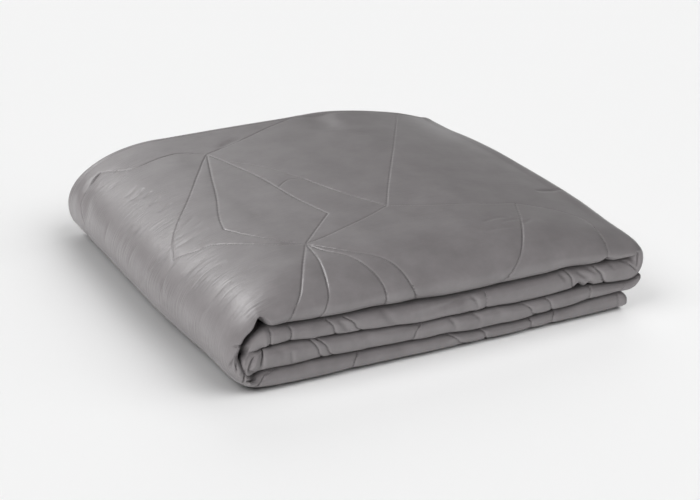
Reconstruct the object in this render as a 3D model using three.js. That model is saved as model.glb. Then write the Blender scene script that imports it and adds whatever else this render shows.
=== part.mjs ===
// A quilted cooling blanket, folded for the shelf. One padded cloth is folded lengthwise into a strip
// of four sheets and the strip is then folded crosswise into four laps that lie on each other.
// Millimetres, +Z up, the fold that shows is at the front (-Y), the hemmed edges are at the back (+Y).
import * as THREE from 'three';

// Driving dimensions of the folded pile
const WIDTH = 576; // from the wrap at the left to the turn at the right
const DEPTH = 552; // from the foremost front fold to the hemmed back edges
const LAP_GAP = 2; // air between neighbouring laps
const SHEET_GAP = 0.9; // air between the four sheets of one lap
const FOLD_INSET = 7; // most that the inner of two nested folds stands behind the outer one
const SEAM_DEPTH = 0.32; // how far a quilting seam sinks, as a share of its sheet's thickness

const LEFT = -WIDTH / 2;
const RIGHT = WIDTH / 2;
const FRONT = -DEPTH / 2;
const BACK = DEPTH / 2;

// The left wrap, the right turn and the two free ends of the strip, along X
const WRAP_START = LEFT + 55; // where the lower laps leave the flat to go round the left side
const WRAP_THICKNESS = 23; // four sheets, pulled tight round the side
const WRAP_MIDDLE = 48; // height at which the wrap reaches furthest left
const SHOULDER_START = LEFT + 138; // where the wrap's long upper shoulder ends and the top lap begins
const SIDE_SHARE = 0.3; // share of the wrap's steps below WRAP_MIDDLE
const POCKET_SHARE = 0.6; // share of its steps whose inner face goes round the inner laps
const TURN_START = RIGHT - 26; // where the top lap begins to turn under at the right
const TURN_CORE = 3; // reach of the tight inside of a turn
const BOTTOM_END = RIGHT - 28; // free end of the lowest lap
const THIRD_END = RIGHT - 4; // free end of the third lap, on its upper side
const THIRD_SLANT = 16; // how far its lower side ends short of that
const SLANT_START = 0.8; // share of the third lap at which the slant begins
const NESTLE = 0.92; // share of the turn's round underside that the third lap's end follows
const CROWDING = 1.6; // exponent that crowds the third lap's stations towards its free end
const ROUNDNESS = 2.3; // exponent of a turn's oval: 2 is an ellipse, more is squarer
const SHOULDER_ROUNDNESS = 2; // the same for the upper shoulder of the wrap
const POCKET_ROUNDNESS = 2.8; // the same for the inside of the wrap
const INNER_ROUNDNESS = 1.45; // the same for the inner wrap, which leaves its corners open

// The wrap is drawn in towards the front
const DRAW_IN = 9; // how far, along X
const DRAW_IN_START = 20; // it begins this far in front of the middle
const DRAW_IN_END = 210; // and is whole this far in front of it
const DRAW_IN_REACH = 53; // how far in from the left side it is felt

// The pile sags by a share of its height towards its back and front edges
const SAG_START = 40; // distance from the middle at which the sag begins

// Heights of the three air gaps between the laps and of the top, and the sags, at places along X
const HEIGHTS = [
  { x: -233, low: 25.5, middle: 54.5, high: 77.5, top: 121, backSag: 0.005, frontSag: 0 },
  { x: -150, low: 23.5, middle: 51, high: 74.5, top: 123, backSag: 0.015, frontSag: 0 },
  { x: -60, low: 22.8, middle: 45, high: 71.8, top: 127.5, backSag: 0.04, frontSag: 0 },
  { x: 30, low: 19.5, middle: 43.5, high: 69.2, top: 128.5, backSag: 0.045, frontSag: 0 },
  { x: 112, low: 18.6, middle: 41.4, high: 70.5, top: 126, backSag: 0.03, frontSag: 0 },
  { x: 217, low: 23, middle: 43, high: 73, top: 110.5, backSag: 0.06, frontSag: 0.045 },
  { x: 288, low: 28.5, middle: 40.5, high: 75, top: 93, backSag: 0.13, frontSag: 0.1 },
];

// The front fold along the strip: how far its nose stands behind the foremost one, how far the fold
// reaches back on its outer and inner side, and the height of the nose, from -1 inside to 1 outside
const FRONT_FOLDS = [
  { lap: 'bottom', at: 0.0, setback: 8, outerReach: 30, innerReach: 16, level: -0.2 },
  { lap: 'bottom', at: 0.45, setback: 6, outerReach: 32, innerReach: 16, level: -0.2 },
  { lap: 'bottom', at: 0.9, setback: 6, outerReach: 36, innerReach: 15, level: -0.1 },
  { lap: 'wrap', at: 0.12, setback: 8, outerReach: 42, innerReach: 16, level: -0.1 },
  { lap: 'wrap', at: 0.35, setback: 10, outerReach: 50, innerReach: 18, level: -0.1 },
  { lap: 'wrap', at: 0.75, setback: 4, outerReach: 64, innerReach: 22, level: -0.15 },
  { lap: 'top', at: 0.1, setback: 1, outerReach: 78, innerReach: 22, level: -0.32 },
  { lap: 'top', at: 0.5, setback: 0, outerReach: 82, innerReach: 24, level: -0.38 },
  { lap: 'top', at: 0.92, setback: 4, outerReach: 62, innerReach: 20, level: -0.3 },
  { lap: 'turn', at: 0.5, setback: 8, outerReach: 28, innerReach: 18, level: 0 },
  { lap: 'second', at: 0.15, setback: 7, outerReach: 15, innerReach: 16, level: 0.15 },
  { lap: 'second', at: 0.5, setback: 4, outerReach: 13, innerReach: 13, level: 0 },
  { lap: 'second', at: 0.9, setback: 7, outerReach: 14, innerReach: 13, level: 0 },
  { lap: 'inner', at: 0.5, setback: 12, outerReach: 14, innerReach: 16, level: 0 },
  { lap: 'third', at: 0.12, setback: 7, outerReach: 14, innerReach: 14, level: -0.1 },
  { lap: 'third', at: 0.55, setback: 4, outerReach: 12, innerReach: 14, level: 0 },
  { lap: 'third', at: 1.0, setback: 9, outerReach: 12, innerReach: 12, level: 0 },
];
const LEAST_REACH = 2; // of the innermost of the nested folds
const HEM_ROUND_SHARE = 1 / 3; // how far a hem bulges, as a share of its sheet's depth
const HEM_POINTS = [0.3, 0.7]; // places of a hem's points across its sheet

// Corners of the quilting on the top lap, in X and Y; left of SHOULDER_START, X is measured along the
// wrap, and beyond the front shoulder Y is measured down over the fold
const CORNERS = {
  hub: { x: -118, y: 183 },
  backEdge: { x: 62, y: BACK },
  leftShoulder: { x: -174, y: 204 },
  leftBend: { x: -230, y: 210 },
  leftCrease: { x: -260, y: 236 },
  leftFoot: { x: -326, y: 217 },
  wrapBend: { x: -201, y: 46 },
  wrapHub: { x: -271, y: -62 },
  wrapFront: { x: -189, y: -121 },
  kite: { x: -197, y: -63 },
  frontHub: { x: -132, y: -159 },
  notch: { x: -70, y: -92 },
  spine: { x: -47, y: 31 },
  spineFoot: { x: -87, y: 19 },
  middleHub: { x: 5, y: -105 },
  backBend: { x: 81, y: 28 },
  backRight: { x: 222, y: BACK },
  rightHub: { x: 167, y: -147 },
  rightBend: { x: 236, y: -206 },
  brimA: { x: -231, y: -297 },
  brimB: { x: -170, y: -304 },
  brimC: { x: -82, y: -305 },
  brimBend: { x: -65, y: -240 },
  brimD: { x: -41, y: -305 },
  brimE: { x: 76, y: -305 },
  brimF: { x: 224, y: -300 },
};

// Seams of the top lap and the left wrap, each a chain of straight runs between corners
const TOP_SEAMS = [
  ['hub', 'backEdge'],
  ['hub', 'leftShoulder', 'leftBend', 'leftCrease', 'leftFoot'],
  ['hub', 'wrapBend', 'wrapHub'],
  ['hub', 'kite', 'frontHub'],
  ['hub', 'notch', 'frontHub'],
  ['hub', 'spine', 'middleHub'],
  ['spineFoot', 'spine'],
  ['middleHub', 'frontHub'],
  ['middleHub', 'backBend', 'backRight'],
  ['middleHub', 'rightHub'],
  ['frontHub', 'wrapFront', 'wrapHub'],
  ['frontHub', 'brimA'],
  ['frontHub', 'brimB'],
  ['frontHub', 'brimC'],
  ['frontHub', 'brimBend', 'brimD'],
  ['rightHub', 'brimE'],
  ['rightHub', 'rightBend', 'brimF'],
];

// Seams that cross the front folds of the lower laps: X on the fold's outer and inner side
const FOLD_SEAMS = [
  { lap: 'second', outerX: -204, innerX: -201 },
  { lap: 'second', outerX: -128, innerX: -169 },
  { lap: 'second', outerX: 54, innerX: 54 },
  { lap: 'second', outerX: 190, innerX: 162 },
  { lap: 'second', outerX: 238, innerX: 203 },
  { lap: 'third', outerX: -181, innerX: -138 },
  { lap: 'third', outerX: -17, innerX: -65 },
  { lap: 'third', outerX: 90, innerX: 146 },
  { lap: 'third', outerX: 210, innerX: 202 },
  { lap: 'bottom', outerX: -143, innerX: -100 },
  { lap: 'bottom', outerX: 52, innerX: -20 },
  { lap: 'bottom', outerX: 120, innerX: 120 },
];
const FOLD_SEAM_SPAN = 40; // how far such a seam runs to either side of its fold, along the cloth
const UNDERFOLD_LIMIT = -0.6; // seams aren't sunk where the cloth faces the lap below
const PARALLEL = 1e-9; // two runs closer to parallel than this don't cross

// Steps along each stretch of the strip, and around the section of the strip
const STEPS = { bottom: 8, wrap: 15, top: 18, turn: 6, second: 9, inner: 4, third: 12 };
const SHOULDER_STEPS = 4;
const UNDERFOLD_STEPS = 3;
const BACK_FOLD_STEPS = 4;
const FACE_STEPS = [
  { outer: 19, inner: 5, fold: null },
  { outer: 3, inner: 3, fold: 3 },
  { outer: 3, inner: 3, fold: 3 },
  { outer: 3, inner: 3, fold: 2 },
];

const CLOTH = new THREE.MeshStandardMaterial({ color: 0x858283, roughness: 0.55, metalness: 0 });

// Value of one of the named columns at x, on a smooth curve through the table
function heightAt(level, place) {
  const last = HEIGHTS.length - 1;
  const x = THREE.MathUtils.clamp(place, HEIGHTS[0].x, HEIGHTS[last].x);
  let row = 0;
  while (row < last - 1 && x > HEIGHTS[row + 1].x) row += 1;
  const slope = (i) => {
    const a = HEIGHTS[Math.max(i - 1, 0)];
    const b = HEIGHTS[Math.min(i + 1, last)];
    return (b[level] - a[level]) / (b.x - a.x);
  };
  const span = HEIGHTS[row + 1].x - HEIGHTS[row].x;
  const t = (x - HEIGHTS[row].x) / span;
  const rise = HEIGHTS[row + 1][level] - HEIGHTS[row][level];
  const bow = t * (1 - t) * ((1 - t) * (slope(row) * span - rise) - t * (slope(row + 1) * span - rise));
  return HEIGHTS[row][level] + rise * t + bow;
}

// One flat lap as stations along the strip, each with its outer and its inner face point
function flatLap(lap, from, to, outerHeight, innerHeight) {
  const stations = [];
  for (let i = 0; i <= STEPS[lap]; i += 1) {
    const at = i / STEPS[lap];
    const x = from + (to - from) * at;
    stations.push({
      lap,
      at,
      outer: new THREE.Vector2(x, outerHeight(x)),
      inner: new THREE.Vector2(x, innerHeight(x)),
    });
  }
  return stations;
}

// A point on an oval about a centre, for an angle from -90 degrees (below) to 90 degrees (above)
function ovalPoint(centreX, centreZ, reachX, reachZ, angle, roundness) {
  const along = Math.cos(angle) ** (2 / roundness);
  const lift = Math.sign(angle) * Math.abs(Math.sin(angle)) ** (2 / roundness);
  return new THREE.Vector2(centreX + reachX * along, centreZ + reachZ * lift);
}

// One turn of the strip about the Y direction, without the stations it shares with its laps
function turnLap(lap, outerAt, innerAt) {
  const stations = [];
  for (let i = 1; i < STEPS[lap]; i += 1) {
    const at = i / STEPS[lap];
    stations.push({ lap, at, outer: outerAt(at), inner: innerAt(at) });
  }
  return stations;
}

// One face of a turn: half an oval from one height to another, out to a reach in X
function halfOval(startX, reach, from, to, roundness) {
  const middle = (from + to) / 2;
  return (at) => ovalPoint(startX, middle, reach, (to - from) / 2, Math.PI * (at - 0.5), roundness);
}

const above = (level) => (x) => heightAt(level, x) + LAP_GAP / 2;
const below = (level) => (x) => heightAt(level, x) - LAP_GAP / 2;
const top = (x) => heightAt('top', x);
const POCKET_REACH = WRAP_START - LEFT - WRAP_THICKNESS;

// Outer face of the left wrap: a tight lower quarter and a long upper shoulder
function wrapOuter(at) {
  const quarter = Math.PI / 2;
  if (at < SIDE_SHARE) {
    const angle = quarter * (at / SIDE_SHARE - 1);
    return ovalPoint(WRAP_START, WRAP_MIDDLE, LEFT - WRAP_START, WRAP_MIDDLE, angle, ROUNDNESS);
  }
  const rise = top(SHOULDER_START) - WRAP_MIDDLE;
  const angle = (quarter * (at - SIDE_SHARE)) / (1 - SIDE_SHARE);
  return ovalPoint(SHOULDER_START, WRAP_MIDDLE, LEFT - SHOULDER_START, rise, angle, SHOULDER_ROUNDNESS);
}

// Inner face of the left wrap: round the inner laps, then along the top lap's underside
function wrapInner(at) {
  const from = below('low')(WRAP_START);
  const to = above('high')(WRAP_START);
  if (at < POCKET_SHARE) {
    return halfOval(WRAP_START, -POCKET_REACH, from, to, POCKET_ROUNDNESS)(at / POCKET_SHARE);
  }
  const x = THREE.MathUtils.mapLinear(at, POCKET_SHARE, 1, WRAP_START, SHOULDER_START);
  return new THREE.Vector2(x, above('high')(x));
}

// Height of the third lap's upper side: under the second lap, then up against the round of the turn
function thirdUpper(x) {
  const out = Math.max(x - TURN_START, 0) / (RIGHT - TURN_START);
  const rise = 1 - (1 - out ** ROUNDNESS) ** (1 / ROUNDNESS);
  const halfTurn = (top(TURN_START) - above('middle')(TURN_START)) / 2;
  return below('middle')(x) + NESTLE * rise * halfTurn;
}

// The third lap, whose free end is slanted
function thirdLap() {
  const stations = [];
  for (let i = 0; i <= STEPS.third; i += 1) {
    const at = 1 - (1 - i / STEPS.third) ** CROWDING;
    const x = THREE.MathUtils.lerp(WRAP_START, THIRD_END, at);
    const lowerX = x - THIRD_SLANT * THREE.MathUtils.smoothstep(at, SLANT_START, 1);
    stations.push({
      lap: 'third',
      at,
      outer: new THREE.Vector2(x, thirdUpper(x)),
      inner: new THREE.Vector2(lowerX, above('low')(lowerX)),
    });
  }
  return stations;
}

// The whole strip: lowest lap, left wrap, top lap, right turn, second lap, inner wrap, third lap
function stripStations() {
  const turnTop = top(TURN_START);
  const turnFoot = above('middle')(TURN_START);
  const core = { from: above('high')(TURN_START), to: below('high')(TURN_START) };
  const innerCore = { from: above('middle')(WRAP_START), to: below('middle')(WRAP_START) };
  const innerSkin = { from: below('high')(WRAP_START), to: above('low')(WRAP_START) };
  return [
    ...flatLap('bottom', BOTTOM_END, WRAP_START, () => 0, below('low')),
    ...turnLap('wrap', wrapOuter, wrapInner),
    ...flatLap('top', SHOULDER_START, TURN_START, top, above('high')),
    ...turnLap(
      'turn',
      halfOval(TURN_START, RIGHT - TURN_START, turnTop, turnFoot, ROUNDNESS),
      halfOval(TURN_START, TURN_CORE, core.from, core.to, ROUNDNESS),
    ),
    ...flatLap('second', TURN_START, WRAP_START, above('middle'), below('high')),
    ...turnLap(
      'inner',
      halfOval(WRAP_START, -TURN_CORE, innerCore.from, innerCore.to, INNER_ROUNDNESS),
      halfOval(WRAP_START, LAP_GAP - POCKET_REACH, innerSkin.from, innerSkin.to, INNER_ROUNDNESS),
    ),
    ...thirdLap(),
  ];
}

// Shape of the front fold at a station, blended between the rows of the table
function frontFoldAt(station) {
  const order = Object.keys(STEPS);
  const place = (entry) => order.indexOf(entry.lap) + entry.at;
  const here = place(station);
  const last = FRONT_FOLDS.length - 1;
  let row = 0;
  while (row < last - 1 && here > place(FRONT_FOLDS[row + 1])) row += 1;
  const a = FRONT_FOLDS[row];
  const b = FRONT_FOLDS[row + 1];
  const t = THREE.MathUtils.smoothstep(here, place(a), place(b));
  const mix = (column) => THREE.MathUtils.lerp(a[column], b[column], t);
  return {
    nose: FRONT + mix('setback'),
    outerReach: mix('outerReach'),
    innerReach: mix('innerReach'),
    level: mix('level'),
  };
}

// One hairpin of cloth from the back, round the front fold and back again, as points (y, w) with w
// from 1 at the strip's outer face to -1 at its inner face; each point knows which way is outwards
function hairpin(fold, width, inset, backY, steps) {
  const points = [];
  const nose = fold.nose + inset;
  const level = fold.level * width;
  const outerReach = Math.max(fold.outerReach - inset, LEAST_REACH) * Math.sqrt(width);
  const innerReach = Math.max(fold.innerReach - inset, LEAST_REACH) * Math.sqrt(width);
  for (let i = 0; i < steps.outer; i += 1) {
    const y = THREE.MathUtils.lerp(backY, nose + outerReach, i / steps.outer);
    points.push({ y, w: width, outY: 0, outW: 1 });
  }
  const shoulder = steps.fold ?? SHOULDER_STEPS;
  for (let i = 0; i < shoulder; i += 1) {
    const angle = ((i / shoulder) * Math.PI) / 2;
    const y = nose + outerReach * (1 - Math.sin(angle));
    const w = level + (width - level) * Math.cos(angle);
    points.push({ y, w, outY: -Math.sin(angle), outW: Math.cos(angle) });
  }
  const underfold = steps.fold ?? UNDERFOLD_STEPS;
  for (let i = 0; i < underfold; i += 1) {
    const angle = ((i / underfold) * Math.PI) / 2;
    const y = nose + innerReach * (1 - Math.cos(angle));
    const w = level - (width + level) * Math.sin(angle);
    points.push({ y, w, outY: -Math.cos(angle), outW: -Math.sin(angle) });
  }
  for (let i = 0; i <= steps.inner; i += 1) {
    const y = THREE.MathUtils.lerp(nose + innerReach, backY, i / steps.inner);
    points.push({ y, w: -width, outY: 0, outW: -1 });
  }
  return points;
}

// The closed outline of the strip's four sheets at a station: the outer hairpin holds the inner one,
// their inner halves are joined by a fold at the back and their outer halves end there in two hems
function stripSection(station) {
  const fold = frontFoldAt(station);
  const halfThickness = station.outer.distanceTo(station.inner) / 2;
  const gap = SHEET_GAP / halfThickness;
  const sheet = (2 - 3 * gap) / 4;
  const sheetThickness = sheet * halfThickness;
  const sheetDepth = Math.min(sheetThickness, FOLD_INSET);
  const widths = [1, 1 - sheet, 1 - sheet - gap, gap / 2];
  const insets = [0, sheetDepth, sheetDepth + SHEET_GAP, 2 * sheetDepth + SHEET_GAP];
  const hemRound = sheetDepth * HEM_ROUND_SHARE;
  const deep = BACK - sheetDepth - hemRound;
  const backs = [BACK - hemRound, deep, deep, BACK - 2 * hemRound];
  const pins = widths.map((width, i) => hairpin(fold, width, insets[i], backs[i], FACE_STEPS[i]));
  const skin = pins[0].map((point) => ({ ...point, skin: true }));
  const backFold = [];
  for (let i = 1; i < BACK_FOLD_STEPS; i += 1) {
    const angle = Math.PI * (i / BACK_FOLD_STEPS - 0.5);
    const middle = -(widths[0] + widths[3]) / 2;
    const half = (widths[0] - widths[3]) / 2;
    backFold.push({ y: backs[0] + hemRound * Math.cos(angle), w: middle + half * Math.sin(angle) });
  }
  const hem = (from, to, y) => HEM_POINTS.map((at) => ({ y, w: THREE.MathUtils.lerp(from, to, at) }));
  return {
    sheetThickness,
    points: [
      ...skin,
      ...backFold,
      ...pins[3].toReversed(),
      ...hem(widths[3], widths[2], BACK - hemRound),
      ...pins[2],
      ...pins[1].toReversed(),
      ...hem(widths[1], widths[0], BACK),
    ],
  };
}

// Where segment a-b crosses segment c-d on the unfolded cloth, as a share of a-b, or null
function crossing(a, b, c, d) {
  const run = (b.u - a.u) * (d.v - c.v) - (b.v - a.v) * (d.u - c.u);
  if (Math.abs(run) < PARALLEL) return null;
  const alongEdge = ((c.u - a.u) * (d.v - c.v) - (c.v - a.v) * (d.u - c.u)) / run;
  const alongSeam = ((c.u - a.u) * (b.v - a.v) - (c.v - a.v) * (b.u - a.u)) / run;
  const within = alongEdge >= 0 && alongEdge <= 1 && alongSeam >= 0 && alongSeam <= 1;
  return within ? alongEdge : null;
}

// All quilting runs of one stretch of the strip on the unfolded cloth
function seamRuns(lap) {
  const runs = [];
  if (lap === 'top' || lap === 'wrap') {
    for (const chain of TOP_SEAMS) {
      for (let i = 0; i + 1 < chain.length; i += 1) {
        const from = CORNERS[chain[i]];
        const to = CORNERS[chain[i + 1]];
        runs.push([{ u: from.x, v: from.y }, { u: to.x, v: to.y }]);
      }
    }
  }
  for (const seam of FOLD_SEAMS.filter((entry) => entry.lap === lap)) {
    runs.push([
      { u: seam.outerX, v: FRONT + FOLD_SEAM_SPAN },
      { u: seam.innerX, v: FRONT - FOLD_SEAM_SPAN },
    ]);
  }
  return runs;
}

// Places of the outer face on the unfolded cloth: u along the strip, v across it and over the front
function unfold(stations, rings) {
  const wrapTop = stations.findIndex((station) => station.lap === 'top');
  const places = [];
  stations.forEach((station, i) => {
    let u = station.outer.x;
    if (station.lap === 'wrap') {
      u = SHOULDER_START;
      for (let k = i; k < wrapTop; k += 1) u -= stations[k].outer.distanceTo(stations[k + 1].outer);
    }
    let v = 0;
    places.push(
      rings[i].flatMap((point, j) => {
        if (!point.skin) return [];
        const before = rings[i][j - 1];
        v = point.outW === 1 ? point.position.y : v - before.position.distanceTo(point.position);
        return [{ u, v }];
      }),
    );
  });
  return places;
}

// Moves the points of the outer face that lie nearest to a seam onto it and sinks them
function sinkSeams(stations, rings) {
  const places = unfold(stations, rings);
  const pulls = new Map();
  const consider = (i, j, otherI, otherJ, share) => {
    const key = `${i},${j}`;
    if (!pulls.has(key) || pulls.get(key).share > share) pulls.set(key, { i, j, otherI, otherJ, share });
  };
  stations.forEach((station, i) => {
    const runs = seamRuns(station.lap);
    places[i].forEach((place, j) => {
      for (const [nextI, nextJ] of [[i + 1, j], [i, j + 1]]) {
        const next = places[nextI]?.[nextJ];
        if (!next) continue;
        for (const [from, to] of runs) {
          const share = crossing(place, next, from, to);
          if (share === null) continue;
          if (share < 0.5) consider(i, j, nextI, nextJ, share);
          else consider(nextI, nextJ, i, j, 1 - share);
        }
      }
    });
  });
  const before = rings.map((ring) => ring.map((point) => point.position.clone()));
  for (const { i, j, otherI, otherJ, share } of pulls.values()) {
    const point = rings[i][j];
    const liesOnFloor = before[i][j].z === 0;
    if (liesOnFloor || point.outW < UNDERFOLD_LIMIT) continue;
    point.sunk = true;
    point.position.lerp(before[otherI][otherJ], share);
    point.position.addScaledVector(point.outward, -SEAM_DEPTH * rings[i].sheetThickness);
  }
}

// A point of the even pile, lowered by the sags and drawn in at the left
function settle(x, y, z) {
  const backSag = heightAt('backSag', x) * THREE.MathUtils.smoothstep(y, SAG_START, BACK);
  const frontSag = heightAt('frontSag', x) * THREE.MathUtils.smoothstep(-y, SAG_START, -FRONT);
  const atSide = 1 - THREE.MathUtils.smoothstep(x, LEFT, LEFT + DRAW_IN_REACH);
  const drawnIn = DRAW_IN * atSide * THREE.MathUtils.smoothstep(-y, DRAW_IN_START, DRAW_IN_END);
  return new THREE.Vector3(x + drawnIn, y, z * (1 - backSag - frontSag));
}

// Rings of points in space, one for each station of the strip
function stripRings(stations) {
  return stations.map((station) => {
    const middle = station.outer.clone().add(station.inner).multiplyScalar(0.5);
    const reach = station.outer.clone().sub(station.inner).multiplyScalar(0.5);
    const across = reach.clone().normalize();
    const section = stripSection(station);
    const ring = section.points.map(({ y, w, outY = 0, outW = 0, skin = false }) => {
      const position = settle(middle.x + w * reach.x, y, middle.y + w * reach.y);
      const outward = new THREE.Vector3(outW * across.x, outY, outW * across.y);
      return { position, outward, outW, skin };
    });
    ring.sheetThickness = section.sheetThickness;
    return ring;
  });
}

// The folded blanket as one closed mesh: rings joined along the strip and its two ends closed
function foldedBlanket() {
  const stations = stripStations();
  const rings = stripRings(stations);
  sinkSeams(stations, rings);
  const count = rings[0].length;
  const positions = rings.flatMap((ring) => ring.flatMap((point) => point.position.toArray()));
  const triangles = [];
  for (let i = 0; i + 1 < rings.length; i += 1) {
    for (let j = 0; j < count; j += 1) {
      const k = (j + 1) % count;
      const [a, b, c, d] = [i * count + j, i * count + k, (i + 1) * count + k, (i + 1) * count + j];
      const seamRunsAcross = rings[i][k].sunk && rings[i + 1][j].sunk;
      triangles.push(...(seamRunsAcross ? [a, b, d, b, c, d] : [a, b, c, a, c, d]));
    }
  }
  for (const ringIndex of [0, rings.length - 1]) {
    const outline = rings[ringIndex].map(({ position }) => new THREE.Vector2(position.y, position.z));
    for (const face of THREE.ShapeUtils.triangulateShape(outline, [])) {
      triangles.push(...face.map((index) => ringIndex * count + index));
    }
  }
  const geometry = new THREE.BufferGeometry();
  geometry.setAttribute('position', new THREE.Float32BufferAttribute(positions, 3));
  geometry.setIndex(triangles);
  geometry.computeBoundingBox();
  const centre = geometry.boundingBox.getCenter(new THREE.Vector3());
  geometry.translate(-centre.x, -centre.y, -geometry.boundingBox.min.z);
  geometry.computeVertexNormals();
  return geometry;
}

const blanket = new THREE.Mesh(foldedBlanket(), CLOTH);
blanket.name = 'blanket';

const part = new THREE.Group();
part.add(blanket);

export default part;
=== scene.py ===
"""Dresses a folded quilted cooling blanket: its satin cloth, its quilting thread and a plain studio.

The cloth is one padded sheet, folded lengthwise into a strip of four sheets and then crosswise into
four laps. Sizes are millimetres unless a name says otherwise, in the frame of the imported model.
"""

import logging
import math
from collections.abc import Callable
from dataclasses import dataclass
from enum import Enum, IntEnum

import bmesh
import bpy
import numpy as np
from mathutils import Matrix, Vector
from mathutils.bvhtree import BVHTree
from mathutils.interpolate import poly_3d_calc


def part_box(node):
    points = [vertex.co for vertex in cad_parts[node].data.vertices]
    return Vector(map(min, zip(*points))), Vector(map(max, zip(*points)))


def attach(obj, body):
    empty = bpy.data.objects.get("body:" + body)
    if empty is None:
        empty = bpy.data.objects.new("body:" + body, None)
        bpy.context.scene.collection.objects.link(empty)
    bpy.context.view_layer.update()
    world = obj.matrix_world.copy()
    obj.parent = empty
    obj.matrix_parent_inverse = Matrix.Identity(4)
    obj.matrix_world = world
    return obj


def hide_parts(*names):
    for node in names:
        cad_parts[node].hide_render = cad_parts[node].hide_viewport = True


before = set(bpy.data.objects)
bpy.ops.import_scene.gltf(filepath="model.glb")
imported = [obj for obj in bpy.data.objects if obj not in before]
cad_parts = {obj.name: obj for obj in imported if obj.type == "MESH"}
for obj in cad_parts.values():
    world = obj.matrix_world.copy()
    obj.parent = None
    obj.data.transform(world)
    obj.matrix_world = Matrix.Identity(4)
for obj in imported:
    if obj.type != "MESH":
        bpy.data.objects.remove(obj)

LOG = logging.getLogger("blanket")
MM = 0.001  # metres in a millimetre
CAD_NODE = "blanket"
BODY = "root"

Array = np.ndarray
Level = Callable[[Array], Array]  # gives the height at places along X


class Lap(IntEnum):
    """Stretches of the folded strip, in order along it."""

    BOTTOM = 0
    WRAP = 1
    TOP = 2
    TURN = 3
    SECOND = 4
    INNER = 5
    THIRD = 6


class Side(IntEnum):
    """Stretches of the strip's section, in order round it; the first four are the outer skin."""

    FACE = 0
    SHOULDER = 1
    UNDERFOLD = 2
    LINING = 3
    BACK_FOLD = 4
    SLOT = 5
    INNER_HEM = 6
    INNER_SKIN = 7
    SKIN_LINING = 8
    OUTER_HEM = 9


@dataclass(frozen=True)
class HeightRow:
    """Heights of the air gaps between the laps and of the top, at one place along X.

    The two sags are the shares by which the pile is lower at its back and at its front.
    """

    x: float
    low: float
    middle: float
    high: float
    top: float
    back_sag: float
    front_sag: float


@dataclass(frozen=True)
class FoldRow:
    """The strip's front fold at one place along it.

    Level runs from -1 inside to 1 outside; squareness is 2 for an oval fold and more for a flatter one.
    """

    lap: Lap
    at: float
    setback: float
    outer_reach: float
    inner_reach: float
    level: float
    squareness: float = 2.0


HEIGHTS = (
    HeightRow(-233, 25.5, 54.5, 77.5, 121, 0.005, 0),
    HeightRow(-150, 23.5, 51, 74.5, 123, 0.015, 0),
    HeightRow(-60, 22.8, 45, 71.8, 127.5, 0.04, 0),
    HeightRow(30, 19.5, 43.5, 69.2, 128.5, 0.045, 0),
    HeightRow(112, 18.6, 41.4, 70.5, 126, 0.03, 0),
    HeightRow(217, 23, 43, 73, 110.5, 0.06, 0.045),
    HeightRow(288, 28.5, 40.5, 75, 93, 0.13, 0.1),
)

FRONT_FOLDS = (
    FoldRow(Lap.BOTTOM, 0.0, 8, 30, 16, -0.2, 2.8),
    FoldRow(Lap.BOTTOM, 0.45, 6, 32, 16, -0.2, 2.8),
    FoldRow(Lap.BOTTOM, 0.9, 6, 36, 15, -0.1, 2.6),
    FoldRow(Lap.WRAP, 0.12, 8, 42, 16, -0.1),
    FoldRow(Lap.WRAP, 0.35, 10, 50, 18, -0.1),
    FoldRow(Lap.WRAP, 0.75, 4, 64, 22, -0.15),
    FoldRow(Lap.TOP, 0.1, 1, 78, 22, -0.32),
    FoldRow(Lap.TOP, 0.5, 0, 82, 24, -0.38),
    FoldRow(Lap.TOP, 0.92, 4, 62, 20, -0.3),
    FoldRow(Lap.TURN, 0.5, 8, 28, 18, 0.0, 2.4),
    FoldRow(Lap.SECOND, 0.15, 7, 15, 16, 0.15, 2.9),
    FoldRow(Lap.SECOND, 0.5, 4, 13, 13, 0.0, 3.0),
    FoldRow(Lap.SECOND, 0.9, 7, 14, 13, 0.0, 3.0),
    FoldRow(Lap.INNER, 0.5, 12, 14, 16, 0.0, 2.6),
    FoldRow(Lap.THIRD, 0.12, 7, 14, 14, -0.1, 3.0),
    FoldRow(Lap.THIRD, 0.55, 4, 12, 14, 0.0, 3.0),
    FoldRow(Lap.THIRD, 1.0, 9, 12, 12, 0.0, 2.8),
)


def smoothstep(x: Array, low: Array | float, high: Array | float) -> Array:
    """Rises smoothly from 0 at low to 1 at high.

    Args:
        x: Values to test.
        low: Where the rise begins.
        high: Where it ends.

    Returns:
        The share of the rise at each value.
    """
    t = np.clip((x - low) / (high - low), 0, 1)
    return t * t * (3 - 2 * t)


@dataclass(frozen=True)
class Rise:
    """A smooth rise from 0 at one value to 1 at another."""

    low: float
    high: float

    def at(self, x: Array) -> Array:
        """The share of the rise at each value."""
        return smoothstep(x, self.low, self.high)


def running(points: Array) -> Array:
    """Length along a line of points, from its start to each of them."""
    steps = np.linalg.norm(np.diff(points, axis=0), axis=1)
    return np.concatenate([[0.0], np.cumsum(steps)])


def oval(
    centre_x: float, centre_z: float, reach_x: float, reach_z: float, angle: Array, roundness: Array | float,
) -> Array:
    """Points on an oval for angles from a quarter turn below to a quarter turn above.

    Args:
        centre_x: Middle of the oval along X.
        centre_z: Middle of the oval along Z.
        reach_x: Half width, negative to the left.
        reach_z: Half height.
        angle: Angles in radians.
        roundness: Exponent, 2 for an ellipse and more for a squarer oval.

    Returns:
        Rows of x and z.
    """
    along = np.clip(np.cos(angle), 0, 1) ** (2 / roundness)
    lift = np.sign(angle) * np.abs(np.sin(angle)) ** (2 / roundness)
    return np.stack([centre_x + reach_x * along, centre_z + reach_z * lift], -1)


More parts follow.
